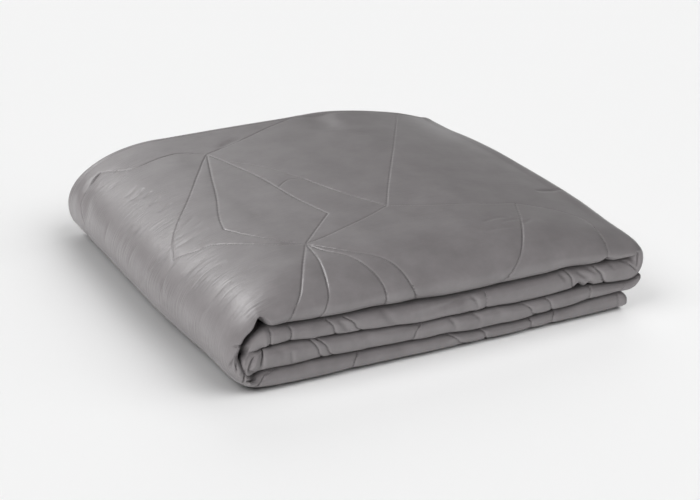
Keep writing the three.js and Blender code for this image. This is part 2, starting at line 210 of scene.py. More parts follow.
@dataclass
class FoldedStrip:
    """The folded cloth as a surface: p runs along the strip (see Lap), q round its section (see Side)."""

    left: float
    right: float
    front: float
    back: float
    lap_gap: float = 2.0  # air between neighbouring laps
    sheet_gap: float = 0.9  # air between the four sheets of a lap
    fold_inset: float = 7.0  # most by which a front fold stands behind the one round it
    least_reach: float = 2.0  # least reach of a front fold
    wrap_reach: float = 55.0
    wrap_thickness: float = 23.0
    wrap_middle: float = 48.0  # height of the wrap's outermost point
    shoulder_reach: float = 138.0
    side_share: float = 0.3  # share of the wrap's outer face that lies below its middle
    pocket_share: float = 0.6  # share of the wrap's inner face that goes round the inner laps
    turn_reach: float = 26.0
    turn_core: float = 3.0
    bottom_inset: float = 28.0  # from the right side to the lowest lap's free end
    third_inset: float = 4.0  # from the right side to the third lap's free end
    third_slant: float = 16.0
    slant_start: float = 0.8
    nestle: float = 0.92  # share of the turn's roundness that the third lap follows
    roundness: float = 2.3
    pocket_roundness: float = 2.8
    inner_roundness: float = 1.45
    bunch_roundness: float = 2.4  # of the inner wrap's lower half, where the cloth is bunched
    shoulder_roundness: float = 2.0
    sag_start: float = 40.0
    draw_in: float = 9.0  # how far the wrap's front corner is drawn in
    draw_in_start: float = 20.0
    draw_in_end: float = 210.0
    draw_in_reach: float = 53.0
    hem_taper: float = 3.0  # length over which a free end thins to its edge
    hem_edge: float = 0.25  # share of the thickness that is left at that edge
    hem_step: float = 2.0  # from the outer hem to the inner one
    samples: int = 4001  # places along the strip at which its length is measured
    length_nodes: int = 10  # places on a quarter of a front fold at which its length is measured

    SHEETS = 4
    STRETCHES = 4  # of a hairpin of cloth: outer run, shoulder, underfold and inner run

    def __post_init__(self) -> None:
        """Works out the places that follow from the sizes."""
        self.wrap_start = self.left + self.wrap_reach
        self.shoulder_start = self.left + self.shoulder_reach
        self.turn_start = self.right - self.turn_reach
        self.bottom_end = self.right - self.bottom_inset
        self.third_end = self.right - self.third_inset
        self.pocket_reach = self.wrap_reach - self.wrap_thickness
        self.fine = np.linspace(0, len(Lap), self.samples)
        outer, inner = self.faces(self.fine)
        self.outer_run = running(outer)
        self.cloth_run = running((outer + inner) / 2)

    def height(self, level: str, x: Array) -> Array:
        """Height of a named level on a smooth curve through the table.

        Args:
            level: Column of HeightRow.
            x: Places along X.

        Returns:
            The height at each place.
        """
        xs = np.array([row.x for row in HEIGHTS])
        zs = np.array([getattr(row, level) for row in HEIGHTS])
        before = np.maximum(np.arange(len(xs)) - 1, 0)
        after = np.minimum(np.arange(len(xs)) + 1, len(xs) - 1)
        slope = (zs[after] - zs[before]) / (xs[after] - xs[before])
        x = np.clip(x, xs[0], xs[-1])
        row = np.clip(np.searchsorted(xs, x, side="left") - 1, 0, len(xs) - 2)
        span = xs[row + 1] - xs[row]
        t = (x - xs[row]) / span
        rise = zs[row + 1] - zs[row]
        bow = t * (1 - t) * ((1 - t) * (slope[row] * span - rise) - t * (slope[row + 1] * span - rise))
        return zs[row] + rise * t + bow

    def _above(self, level: str, x: Array) -> Array:
        """Height just over an air gap."""
        return self.height(level, x) + self.lap_gap / 2

    def _below(self, level: str, x: Array) -> Array:
        """Height just under an air gap."""
        return self.height(level, x) - self.lap_gap / 2

    def _half_oval(
        self, x: float, reach: float, start: float, end: float, at: Array, roundness: Array | float,
    ) -> Array:
        """Half an oval from one height to another, out to a reach along X."""
        middle = (start + end) / 2
        return oval(x, middle, reach, (end - start) / 2, np.pi * (at - 0.5), roundness)

    def _flat(self, start: float, end: float, at: Array) -> Array:
        """Places along X on a flat lap."""
        return start + (end - start) * at

    def _wrap_outer(self, at: Array) -> Array:
        """Outer face of the left wrap: a tight lower quarter and a long upper shoulder.

        Args:
            at: Places along the wrap, as shares.

        Returns:
            Rows of x and z.
        """
        quarter = np.pi / 2
        low = oval(
            self.wrap_start, self.wrap_middle, -self.wrap_reach, self.wrap_middle,
            quarter * np.minimum(at / self.side_share - 1, 0), self.roundness,
        )
        rise = self.height("top", np.array(self.shoulder_start)) - self.wrap_middle
        high = oval(
            self.shoulder_start, self.wrap_middle, -self.shoulder_reach, rise,
            quarter * np.maximum(at - self.side_share, 0) / (1 - self.side_share), self.shoulder_roundness,
        )
        return np.where((at < self.side_share)[:, None], low, high)

    def _wrap_inner(self, at: Array) -> Array:
        """Inner face of the left wrap: round the inner laps, then along the top lap's underside.

        Args:
            at: Places along the wrap, as shares.

        Returns:
            Rows of x and z.
        """
        start = np.array(self.wrap_start)
        pocket = self._half_oval(
            self.wrap_start, -self.pocket_reach, self._below("low", start), self._above("high", start),
            np.minimum(at / self.pocket_share, 1), self.pocket_roundness,
        )
        share = np.maximum(at - self.pocket_share, 0) / (1 - self.pocket_share)
        x = self._flat(self.wrap_start, self.shoulder_start, share)
        flat = np.stack([x, self._above("high", x)], -1)
        return np.where((at < self.pocket_share)[:, None], pocket, flat)

    def faces(self, p: Array) -> tuple[Array, Array]:
        """Outer and inner face of the strip in the X-Z plane.

        Args:
            p: Places along the strip.

        Returns:
            Two arrays of x and z rows.
        """
        lap = np.clip(p.astype(int), 0, len(Lap) - 1)
        at = p - lap
        outer = np.zeros((len(p), 2))
        inner = np.zeros((len(p), 2))
        turn = np.array(self.turn_start)
        wrap = np.array(self.wrap_start)

        def fill(which: Lap, start: float, end: float, outer_z: Level, inner_z: Level) -> None:
            """Fills the rows of one flat lap.

            Args:
                which: The lap.
                start: Where it begins along X.
                end: Where it ends along X.
                outer_z: Gives the height of its outer face.
                inner_z: Gives the height of its inner face.
            """
            rows = lap == which
            x = self._flat(start, end, at[rows])
            outer[rows] = np.stack([x, outer_z(x)], -1)
            inner[rows] = np.stack([x, inner_z(x)], -1)

        fill(Lap.BOTTOM, self.bottom_end, self.wrap_start, np.zeros_like, lambda x: self._below("low", x))
        rows = lap == Lap.WRAP
        outer[rows] = self._wrap_outer(at[rows])
        inner[rows] = self._wrap_inner(at[rows])
        fill(
            Lap.TOP, self.shoulder_start, self.turn_start,
            lambda x: self.height("top", x), lambda x: self._above("high", x),
        )
        rows = lap == Lap.TURN
        outer[rows] = self._half_oval(
            self.turn_start, self.turn_reach, self.height("top", turn), self._above("middle", turn),
            at[rows], self.roundness,
        )
        inner[rows] = self._half_oval(
            self.turn_start, self.turn_core, self._above("high", turn), self._below("high", turn),
            at[rows], self.roundness,
        )
        fill(
            Lap.SECOND, self.turn_start, self.wrap_start,
            lambda x: self._above("middle", x), lambda x: self._below("high", x),
        )
        rows = lap == Lap.INNER
        bend = np.where(at[rows] < 0.5, self.inner_roundness, self.bunch_roundness)
        outer[rows] = self._half_oval(
            self.wrap_start, -self.turn_core, self._above("middle", wrap), self._below("middle", wrap),
            at[rows], bend,
        )
        inner[rows] = self._half_oval(
            self.wrap_start, self.lap_gap - self.pocket_reach,
            self._below("high", wrap), self._above("low", wrap), at[rows], bend,
        )
        rows = lap == Lap.THIRD
        x = self._flat(self.wrap_start, self.third_end, at[rows])
        outer[rows] = np.stack([x, self._third_upper(x)], -1)
        x = x - self.third_slant * smoothstep(at[rows], self.slant_start, 1)
        inner[rows] = np.stack([x, self._above("low", x)], -1)
        return outer, inner

    def _third_upper(self, x: Array) -> Array:
        """Height of the third lap's upper side: under the second lap, then up against the round turn.

        Args:
            x: Places along X.

        Returns:
            The height at each place.
        """
        out = np.maximum(x - self.turn_start, 0) / self.turn_reach
        rise = 1 - (1 - out**self.roundness) ** (1 / self.roundness)
        turn = np.array(self.turn_start)
        half_turn = (self.height("top", turn) - self._above("middle", turn)) / 2
        return self._below("middle", x) + self.nestle * rise * half_turn

    def _half_thickness(self, p: Array) -> Array:
        """Half the strip's thickness."""
        outer, inner = self.faces(p)
        return np.linalg.norm(outer - inner, axis=1) / 2

    def sheet_thickness(self, p: Array) -> Array:
        """Thickness of one of the strip's four sheets."""
        return (2 * self._half_thickness(p) - (self.SHEETS - 1) * self.sheet_gap) / self.SHEETS

    def fold(self, p: Array) -> dict[str, Array]:
        """Shape of the front fold, blended between the rows of its table.

        Args:
            p: Places along the strip.

        Returns:
            The columns nose, outer_reach, inner_reach, level and squareness.
        """
        places = np.array([row.lap + row.at for row in FRONT_FOLDS])
        row = np.clip(np.searchsorted(places, p, side="left") - 1, 0, len(places) - 2)
        t = smoothstep(p, places[row], places[row + 1])

        def mix(column: str) -> Array:
            """Blends one column of the table."""
            values = np.array([getattr(entry, column) for entry in FRONT_FOLDS])
            return values[row] * (1 - t) + values[row + 1] * t

        return {
            "nose": self.front + mix("setback"),
            "outer_reach": mix("outer_reach"),
            "inner_reach": mix("inner_reach"),
            "level": mix("level"),
            "squareness": mix("squareness"),
        }

    def _hairpin(
        self, fold: dict[str, Array], width: Array, inset: Array, backs: tuple[Array, Array], r: Array,
    ) -> Array:
        """A hairpin of cloth from the back, round the front fold and back again.

        Args:
            fold: Columns of the front fold.
            width: Half width of the hairpin, as a share of the strip's half thickness.
            inset: How far its nose stands behind the strip's.
            backs: Where its outer and its inner run end at the back.
            r: Place along it: outer run, shoulder, underfold and inner run, one unit each.

        Returns:
            Rows of y and w, where w is 1 on the strip's outer face and -1 on its inner face.
        """
        nose = fold["nose"] + inset
        level = fold["level"] * width
        root = np.sqrt(width)
        outer_reach = np.maximum(fold["outer_reach"] - inset, self.least_reach) * root
        inner_reach = np.maximum(fold["inner_reach"] - inset, self.least_reach) * root
        share = r - np.floor(r)
        angle = share * np.pi / 2
        power = 2 / fold["squareness"]
        sine, cosine = np.sin(angle) ** power, np.cos(angle) ** power
        run = np.clip(np.floor(r), 0, self.STRETCHES - 1).astype(int)
        share = np.where(r >= self.STRETCHES, 1.0, share)
        stretches = [run == Side.FACE, run == Side.SHOULDER, run == Side.UNDERFOLD]
        y = np.select(
            stretches,
            [
                backs[0] + (nose + outer_reach - backs[0]) * share,
                nose + outer_reach * (1 - sine),
                nose + inner_reach * (1 - cosine),
            ],
            nose + inner_reach + (backs[1] - nose - inner_reach) * share,
        )
        w = np.select(
            stretches,
            [width, level + (width - level) * cosine, level - (width + level) * sine],
            -width,
        )
        return np.stack([y, w], -1)

    def section(self, p: Array, q: Array) -> Array:
        """The strip's closed section: nested front folds, a back fold and two hems.

        Args:
            p: Places along the strip.
            q: Places round the section.

        Returns:
            Rows of y and w.
        """
        fold = self.fold(p)
        half = self._half_thickness(p)
        gap = self.sheet_gap / half
        sheet = (2 - (self.SHEETS - 1) * gap) / self.SHEETS
        depth = np.minimum(sheet * half, self.fold_inset)
        run = np.interp(p, self.fine, self.cloth_run)
        from_end = np.minimum(run, self.cloth_run[-1] - run)
        closing = np.sqrt(np.clip(1 - (1 - np.clip(from_end / self.hem_taper, 0, 1)) ** 2, 0, 1))
        shrink = (1 - self.hem_edge) * (1 - closing) * sheet / 2
        widths = [1 - shrink, 1 - sheet + shrink, 1 - sheet - gap - shrink, gap / 2 + shrink]
        insets = [0 * depth, depth, depth + self.sheet_gap, 2 * depth + self.sheet_gap]
        hem = depth / 2
        end = self.back - hem
        deep = end - depth
        tucked = end - self.hem_step
        backs = [(end, end), (end, deep), (tucked, deep), (tucked, end)]
        side = np.clip(np.floor(q), 0, len(Side) - 1).astype(int)
        share = np.clip(q - side, 0, 1)
        bulge = hem * np.sin(np.pi * share)
        swing = (1 - np.cos(np.pi * share)) / 2
        result = np.zeros((len(p), 2))

        def hairpin(rows: Array, sheet_face: int, r: Array) -> None:
            """Writes the rows of one hairpin."""
            values = self._hairpin(fold, widths[sheet_face], insets[sheet_face], backs[sheet_face], r)
            result[rows] = values[rows]

        def edge(which: Side, y: Array, start: Array, finish: Array) -> None:
            """Writes the rows of one rounded edge at the back."""
            rows = side == which
            result[rows] = np.stack([y + bulge, start + (finish - start) * swing], -1)[rows]

        hairpin(side <= Side.LINING, 0, np.minimum(q, self.STRETCHES))
        hairpin(side == Side.SLOT, 3, self.STRETCHES * (1 - share))
        hairpin(side == Side.INNER_SKIN, 2, self.STRETCHES * share)
        hairpin(side == Side.SKIN_LINING, 1, self.STRETCHES * (1 - share))
        edge(Side.BACK_FOLD, end, -widths[0], -widths[3])
        edge(Side.INNER_HEM, tucked, widths[3], widths[2])
        edge(Side.OUTER_HEM, end, widths[1], widths[0])
        return result

    def points(self, p: Array, q: Array) -> Array:
        """Places in space.

        Args:
            p: Places along the strip.
            q: Places round the section.

        Returns:
            Rows of x, y and z.
        """
        outer, inner = self.faces(p)
        y, w = self.section(p, q).T
        middle = (outer + inner) / 2
        reach = (outer - inner) / 2
        x = middle[:, 0] + w * reach[:, 0]
        thinning = 1 - self.height("back_sag", x) * smoothstep(y, self.sag_start, self.back)
        thinning -= self.height("front_sag", x) * smoothstep(-y, self.sag_start, -self.front)
        z = (middle[:, 1] + w * reach[:, 1]) * thinning
        at_side = 1 - smoothstep(x, self.left, self.left + self.draw_in_reach)
        x += self.draw_in * at_side * smoothstep(-y, self.draw_in_start, self.draw_in_end)
        return np.stack([x, y, z], -1)

    def cloth_u(self, p: Array) -> Array:
        """Place along the outer face: X on a flat lap, and measured on from it round the wraps and the turn.

        Args:
            p: Places along the strip.

        Returns:
            The distance along the cloth.
        """
        run = np.interp(p, self.fine, self.outer_run)
        at_shoulder = np.interp(float(Lap.TOP), self.fine, self.outer_run)
        at_turn = np.interp(float(Lap.TURN), self.fine, self.outer_run)
        outer, _ = self.faces(p)
        u = np.where(p < Lap.TOP, self.shoulder_start - (at_shoulder - run), self.turn_start + run - at_turn)
        flat = (p >= Lap.TOP) & (p <= Lap.TURN) | (p < Lap.WRAP) | (p > Lap.SECOND)
        cloth = np.interp(p, self.fine, self.cloth_run)
        inside = cloth - np.interp(float(Lap.INNER), self.fine, self.cloth_run)
        at_inner = (p >= Lap.INNER) & (p < Lap.THIRD)
        return np.where(at_inner, self.wrap_start - inside, np.where(flat, outer[:, 0], u))

    def cloth_v(self, p: Array, q: Array) -> Array:
        """Place across the outer face: Y on the flat, and measured on from it over the front fold.

        Args:
            p: Places along the strip.
            q: Places round the section, on the outer skin.

        Returns:
            The distance across the cloth.
        """
        fold = self.fold(p)
        half = self._half_thickness(p)
        y = self.section(p, q)[:, 0]
        nodes, weights = np.polynomial.legendre.leggauss(self.length_nodes)

        def quarter(reach: Array, rise: Array, angle: Array) -> Array:
            """Length of a quarter oval from its start, where it runs along Y.

            Args:
                reach: Half width of the oval along Y.
                rise: Half height of the oval.
                angle: Angle that the length runs to.

            Returns:
                The length at each place.
            """
            t = angle[:, None] * (nodes + 1) / 2
            speed = np.hypot(reach[:, None] * np.cos(t), rise[:, None] * np.sin(t))
            return (speed * weights).sum(1) * angle / 2

        right = np.full_like(p, np.pi / 2)
        upper = (fold["outer_reach"], half * (1 - fold["level"]))
        lower = (fold["inner_reach"], half * (1 + fold["level"]))
        shoulder_y = fold["nose"] + fold["outer_reach"]
        on_shoulder = quarter(*upper, np.clip(q - Side.SHOULDER, 0, 1) * np.pi / 2)
        whole_lower = quarter(*lower, right)
        on_underfold = whole_lower - quarter(*lower, (1 - np.clip(q - Side.UNDERFOLD, 0, 1)) * np.pi / 2)
        on_lining = np.where(q > Side.LINING, y - fold["nose"] - fold["inner_reach"], 0)
        return np.where(q <= Side.SHOULDER, y, shoulder_y - on_shoulder - on_underfold - on_lining)


Place = tuple[float, float]

# Hubs of the quilting on the top lap and its wrap, as u and v on the cloth
HUB: Place = (-118, 183)
WRAP_HUB: Place = (-271, -62)
FRONT_HUB: Place = (-132, -159)
KITE: Place = (-197, -63)
NOTCH: Place = (-70, -92)
SPINE: Place = (-47, 31)
MIDDLE_HUB: Place = (5, -105)
RIGHT_HUB: Place = (167, -147)


@dataclass(frozen=True)
class Seam:
    """A sewn seam through places on the cloth; TOP stands for the wrap, the top and the turn."""

    lap: Lap
    places: tuple[Place, ...]
    depth: float = 1.0

    def curve(self, steps: int = 8) -> Array:
        """The seam as a smooth fine line.

        Args:
            steps: Points on each span between two places.

        Returns:
            Rows of u and v.
        """
        knots = np.array(self.places, dtype=float)
        padded = np.vstack([2 * knots[0] - knots[1], knots, 2 * knots[-1] - knots[-2]])
        t = np.arange(steps)[:, None] / steps
        spans = []
        for a, b, c, d in zip(padded, padded[1:], padded[2:], padded[3:]):
            quadratic = a - 2.5 * b + 2 * c - d / 2
            cubic = 1.5 * (b - c) + (d - a) / 2
            spans.append(b + t * (c - a) / 2 + t**2 * quadratic + t**3 * cubic)
        return np.vstack([*spans, knots[-1:]])


# Straight-line quilting of the top lap, the wrap and their front fold
TOP_SEAMS = (
    Seam(Lap.TOP, (HUB, (-80, 200), (-40, 221), (-3, 244), (62, 276))),
    Seam(
        Lap.TOP,
        (
            HUB, (-146, 205), (-174, 204), (-210, 199), (-230, 210), (-257, 240), (-282, 231), (-304, 227),
            (-326, 206),
        ),
        1.2,
    ),
    Seam(Lap.TOP, (HUB, (-132, 161), (-170, 96), (-201, 46), (-249, -18), WRAP_HUB)),
    Seam(Lap.TOP, (WRAP_HUB, (-241, -80), (-224, -86), (-189, -121), (-159, -145), FRONT_HUB)),
    Seam(Lap.TOP, (HUB, (-146, 98), (-166, 34), (-188, -27), KITE)),
    Seam(Lap.TOP, (KITE, (-180, -98), (-156, -133), FRONT_HUB)),
    Seam(Lap.TOP, (HUB, (-105, 127), (-92, 58), (-83, -27), NOTCH)),
    Seam(Lap.TOP, (NOTCH, (-106, -131), FRONT_HUB)),
    Seam(Lap.TOP, ((-103, 142), (-71, 94), SPINE), 0.5),
    Seam(Lap.TOP, ((-87, 19), (-67, 34), SPINE), 0.7),
    Seam(Lap.TOP, (SPINE, (-28, -29), MIDDLE_HUB)),
    Seam(Lap.TOP, (MIDDLE_HUB, (-39, -128), (-100, -152), FRONT_HUB)),
    Seam(Lap.TOP, (MIDDLE_HUB, (45, -34), (125, 102), (203, 241), (222, 276)), 0.8),
    Seam(Lap.TOP, (MIDDLE_HUB, (66, -131), (125, -146), RIGHT_HUB), 0.5),
    Seam(Lap.TOP, (RIGHT_HUB, (216, -173), (237, -202), (231, -245), (224, -281), (223, -304)), 0.7),
    Seam(Lap.TOP, (RIGHT_HUB, (137, -208), (107, -263), (86, -290), (72, -306))),
    Seam(Lap.TOP, (FRONT_HUB, (-152, -196), (-185, -255), (-212, -281), (-233, -300))),
    Seam(Lap.TOP, (FRONT_HUB, (-138, -206), (-152, -264), (-162, -284), (-174, -304)), 1.1),
    Seam(Lap.TOP, (FRONT_HUB, (-121, -189), (-100, -221), (-86, -268), (-82, -308)), 1.3),
    Seam(Lap.TOP, (FRONT_HUB, (-100, -202), (-65, -240), (-50, -282), (-40, -310)), 1.3),
    Seam(Lap.TOP, ((-387, -265), (-391, -271), (-397, -279), (-404, -286)), 1.2),
)

# Quilting that crosses the front folds of the lower laps
FOLD_SEAMS = (
    Seam(Lap.SECOND, ((-226, -250), (-227, -270), (-226, -284), (-225, -300))),
    Seam(Lap.SECOND, ((-205, -250), (-202, -268), (-201, -280), (-203, -300))),
    Seam(Lap.SECOND, ((-145, -250), (-146, -270), (-153, -286), (-160, -302))),
    Seam(Lap.SECOND, ((-104, -252), (-115, -270), (-130, -287), (-140, -302))),
    Seam(Lap.SECOND, ((53, -252), (54, -271), (54, -285), (54, -302))),
    Seam(Lap.SECOND, ((182, -252), (178, -272), (172, -289), (168, -300))),
    Seam(Lap.SECOND, ((231, -250), (225, -266), (214, -290), (209, -302))),
    Seam(Lap.THIRD, ((-178, -250), (-173, -263), (-166, -280), (-160, -298))),
    Seam(Lap.THIRD, ((-170, -250), (-163, -264), (-153, -281), (-144, -298))),
    Seam(Lap.THIRD, ((-27, -250), (-35, -266), (-44, -280), (-52, -298))),
    Seam(Lap.THIRD, ((101, -250), (111, -265), (122, -281), (134, -298))),
    Seam(Lap.THIRD, ((138, -250), (143, -262), (148, -279), (153, -298))),
    Seam(Lap.THIRD, ((208, -250), (207, -261), (206, -272), (204, -292)), 0.7),
    Seam(Lap.BOTTOM, ((-128, -254), (-123, -272), (-115, -287), (-110, -300))),
    Seam(Lap.BOTTOM, ((38, -250), (25, -266), (12, -280), (-2, -298))),
    Seam(Lap.BOTTOM, ((60, -250), (55, -272), (51, -283), (43, -298))),
    Seam(Lap.BOTTOM, ((120, -250), (120, -271), (120, -281), (120, -298))),
    Seam(Lap.BOTTOM, ((148, -250), (151, -273), (154, -281), (160, -298))),
    Seam(Lap.BOTTOM, ((-233, -284), (-227, -287), (-219, -291), (-208, -296)), 1.2),
)

# Hems: across the two free ends where they show, and along the back edge of the top lap and the wrap
HEM_SEAMS = (
    Seam(Lap.BOTTOM, ((248, -250), (248, -275), (249, -300)), 0.55),
    Seam(Lap.THIRD, ((259, -250), (259, -275), (259, -296)), 0.35),
    Seam(Lap.TOP, ((-395, 266), (-300, 266), (-150, 266), (60, 266), (258, 266)), 0.4),
)

SEAMS = TOP_SEAMS + FOLD_SEAMS + HEM_SEAMS


@dataclass(frozen=True)
class Crease:
    """A soft trough (or ridge, with a positive height) between two places on the cloth."""

    lap: Lap
    start: Place
    end: Place
    bend: float
    width: float
    height: float

    def curve(self, steps: int = 10) -> Array:
        """The crease's line, bowed sideways at its middle by its bend.

        Args:
            steps: Spans of the line.

        Returns:
            Rows of u and v.
        """
        start, end = np.array(self.start, dtype=float), np.array(self.end, dtype=float)
        t = np.linspace(0, 1, steps + 1)[:, None]
        run = end - start
        side = np.array([-run[1], run[0]]) / np.linalg.norm(run)
        return start + run * t + side * self.bend * 4 * t * (1 - t)


# Pulls in the cloth round the wrap, from its shoulder down
WRAP_CREASES = (
    Crease(Lap.TOP, (-254, 242), (-277, 231), 0, 1.8, -3.4),
    Crease(Lap.TOP, (-282, 222), (-318, 194), 0, 11.0, -2.6),
    Crease(Lap.TOP, (-262, 248), (-330, 238), 0, 9.0, 1.2),
    Crease(Lap.TOP, (-262, -36), (-302, -27), 2, 2.6, -1.0),
    Crease(Lap.TOP, (-268, -42), (-300, -38), 2, 2.4, -0.8),
    Crease(Lap.TOP, (-300, -31), (-340, 10), 3, 3.5, -0.6),
    Crease(Lap.TOP, (-210, 1), (-246, -15), 2, 2.6, -0.8),
    Crease(Lap.TOP, (-208, -20), (-250, -31), 2, 2.8, -0.9),
    Crease(Lap.TOP, (-210, -43), (-256, -46), 2, 2.8, -0.9),
    Crease(Lap.TOP, (-224, 116), (-240, 108), 1, 2.2, -0.9),
    Crease(Lap.TOP, (-222, 90), (-242, 82), 1, 2.2, -1.0),
    Crease(Lap.TOP, (-218, 60), (-240, 54), 1, 2.2, -1.0),
    Crease(Lap.TOP, (-228, 196), (-262, 186), 2, 3.5, -0.7),
    Crease(Lap.TOP, (-232, 150), (-256, 138), 2, 3.0, -0.6),
    Crease(Lap.TOP, (-229, 134), (-254, 122), 2, 2.6, -0.9),
    Crease(Lap.TOP, (-288, 128), (-322, 124), 2, 3.2, -0.8),
    Crease(Lap.TOP, (-272, 75), (-322, 81), 3, 3.2, -0.8),
    Crease(Lap.TOP, (-268, 54), (-302, 60), 2, 3.0, -0.7),
    Crease(Lap.TOP, (-278, 31), (-322, 37), 2, 3.0, -0.7),
    Crease(Lap.TOP, (-270, -68), (-320, -82), -5, 3.4, -1.1),
    Crease(Lap.TOP, (-236, -106), (-306, -98), 3, 3.6, -0.7),
    Crease(Lap.TOP, (-226, -138), (-292, -133), -3, 3.6, -0.7),
    Crease(Lap.TOP, (-236, -179), (-308, -177), 4, 3.4, -0.7),
    Crease(Lap.TOP, (-230, -212), (-304, -217), -3, 3.2, -0.4),
    Crease(Lap.TOP, (-224, -235), (-302, -243), 3, 3.0, -0.4),
    Crease(Lap.TOP, (-240, -228), (-300, -232), 2, 2.6, -0.3),
)

# Troughs and puckers on the top lap
TOP_CREASES = (
    Crease(Lap.TOP, (-94, 198), (-52, 220), 2, 5.0, -1.5),
    Crease(Lap.TOP, (84, -205), (124, -196), 3, 3.2, -0.9),
    Crease(Lap.TOP, (74, -226), (122, -225), 3, 3.6, -1.1),
    Crease(Lap.TOP, (108, -211), (139, -204), 2, 2.8, -0.9),
    Crease(Lap.TOP, (34, -235), (74, -222), 3, 4.0, -0.8),
    Crease(Lap.TOP, (154, -204), (133, -216), 1, 3.0, -0.9),
    Crease(Lap.TOP, (228, -101), (276, -89), 2, 3.6, -1.9),
    Crease(Lap.TOP, (74, 190), (92, 290), 0, 22.0, -4.0),
)

# Dents, notches and pleats of the front folds, and the crumpled corner at the left
FOLD_CREASES = (
    Crease(Lap.TOP, (-308, -281), (-304, -261), 0, 1.6, -5.0),
    Crease(Lap.TOP, (-336, -255), (-322, -271), 0, 1.5, -4.2),
    Crease(Lap.TOP, (-343, -265), (-330, -275), 0, 1.5, -4.2),
    Crease(Lap.TOP, (-368, -260), (-352, -281), 1, 1.6, -4.2),
    Crease(Lap.TOP, (-364, -270), (-389, -287), 1, 1.6, -4.5),
    Crease(Lap.TOP, (-352, -262), (-340, -276), 0, 2.6, 1.2),
    Crease(Lap.TOP, (-378, -264), (-366, -282), 0, 2.8, 1.2),
    Crease(Lap.TOP, (270, -275), (335, -276), 0, 1.4, -3.6),
    Crease(Lap.TOP, (353, -287), (332, -274), 0, 1.6, -2.6),
    Crease(Lap.INNER, (-267, -254), (-276, -281), 0, 1.4, -5.6),
    Crease(Lap.INNER, (-258, -255), (-255, -298), 2, 2.2, -7.0),
    Crease(Lap.INNER, (-255, -273), (-266, -288), 0, 1.4, -5.3),
    Crease(Lap.INNER, (-259, -269), (-277, -290), 1, 1.4, -5.6),
    Crease(Lap.INNER, (-249, -280), (-256, -292), 0, 1.5, -4.2),
    Crease(Lap.INNER, (-257, -278), (-271, -289), 0, 1.8, 2.0),
    Crease(Lap.INNER, (-264, -266), (-270, -280), 1, 2.4, 1.8),
    Crease(Lap.SECOND, (-142, -284), (-123, -266), 0, 3.4, -2.9),
    Crease(Lap.SECOND, (-88, -293), (-62, -270), 2, 4.2, -2.6),
    Crease(Lap.SECOND, (-185, -290), (-170, -262), 0, 7.6, 1.3),
    Crease(Lap.SECOND, (159, -292), (169, -277), 0, 2.9, -2.2),
    Crease(Lap.SECOND, (184, -290), (204, -277), 2, 2.9, -2.6),
    Crease(Lap.SECOND, (199, -297), (213, -281), 0, 2.7, -2.2),
    Crease(Lap.SECOND, (248, -298), (262, -286), 0, 1.6, -2.6),
    Crease(Lap.SECOND, (-42, -279), (30, -291), 2, 3.4, -2.6),
    Crease(Lap.SECOND, (32, -292), (44, -274), 0, 2.5, -2.1),
    Crease(Lap.SECOND, (212, -290), (226, -262), -2, 1.6, -2.4),
    Crease(Lap.SECOND, (232, -294), (240, -282), 0, 2.2, -1.2),
    Crease(Lap.SECOND, (20, -296), (38, -262), 3, 8.5, -1.3),
    Crease(Lap.SECOND, (100, -294), (112, -264), -2, 7.6, -1.1),
    Crease(Lap.THIRD, (-202, -271), (-199, -288), 0, 2.2, -2.0),
    Crease(Lap.THIRD, (-222, -262), (-206, -282), 2, 4.2, -1.6),
    Crease(Lap.THIRD, (3, -264), (14, -282), 0, 2.7, -1.8),
    Crease(Lap.THIRD, (37, -262), (47, -279), 0, 2.7, -1.8),
    Crease(Lap.THIRD, (-110, -262), (-96, -284), 0, 6.0, -1.3),
    Crease(Lap.THIRD, (64, -262), (80, -284), 0, 6.0, -1.3),
    Crease(Lap.BOTTOM, (-190, -292), (-176, -268), 0, 7.6, -1.3),
    Crease(Lap.BOTTOM, (-60, -290), (-48, -268), 2, 7.6, -1.3),
)

CREASES = WRAP_CREASES + TOP_CREASES + FOLD_CREASES

Point = tuple[float, float, float]


@dataclass(frozen=True)
class Push:
    """A soft push of the sheets of some laps about one place, in space, or of their inner sheets alone."""

    laps: tuple[Lap, ...]
    place: Point
    reach: Point
    move: Point
    inner_only: bool = False

    def offsets(self, lap: Array, inner: Array, points: Array) -> Array:
        """How far the push moves each point.

        Args:
            lap: Lap of each point.
            inner: Whether each point lies inside the folded strip.
            points: Rows of x, y and z.

        Returns:
            Rows of x, y and z to add.
        """
        share = np.exp(-(((points - self.place) / self.reach) ** 2).sum(1)) * np.isin(lap, self.laps)
        if self.inner_only:
            share = share * inner
        return share[:, None] * np.array(self.move)


# The open mouth under the top fold at the left corner, and notches where a fold is lifted off the next
PUSHES = (
    Push((Lap.WRAP, Lap.TOP), (-238, -264, 81), (7.5, 26, 10.5), (0, 10, 12)),
    Push((Lap.WRAP,), (-266, -264, 47), (9, 22, 11), (-4.5, 3, 0)),
    Push((Lap.INNER, Lap.THIRD), (-250, -262, 38), (9, 26, 13), (-8, -5, -7)),
    Push((Lap.WRAP, Lap.BOTTOM), (-246, -262, 24), (10, 22, 9), (0, 1, -6)),
    Push((Lap.TOP,), (226, -262, 74), (5, 22, 5), (0, 4, 4)),
    Push((Lap.SECOND,), (188, -262, 44), (5, 24, 6), (0, 6, 6)),
    Push((Lap.SECOND,), (203, -262, 45), (4, 22, 5), (0, 4, 4)),
    Push(tuple(Lap), (-258, -272, 45), (40, 32, 60), (0, 8, 0), inner_only=True),
)


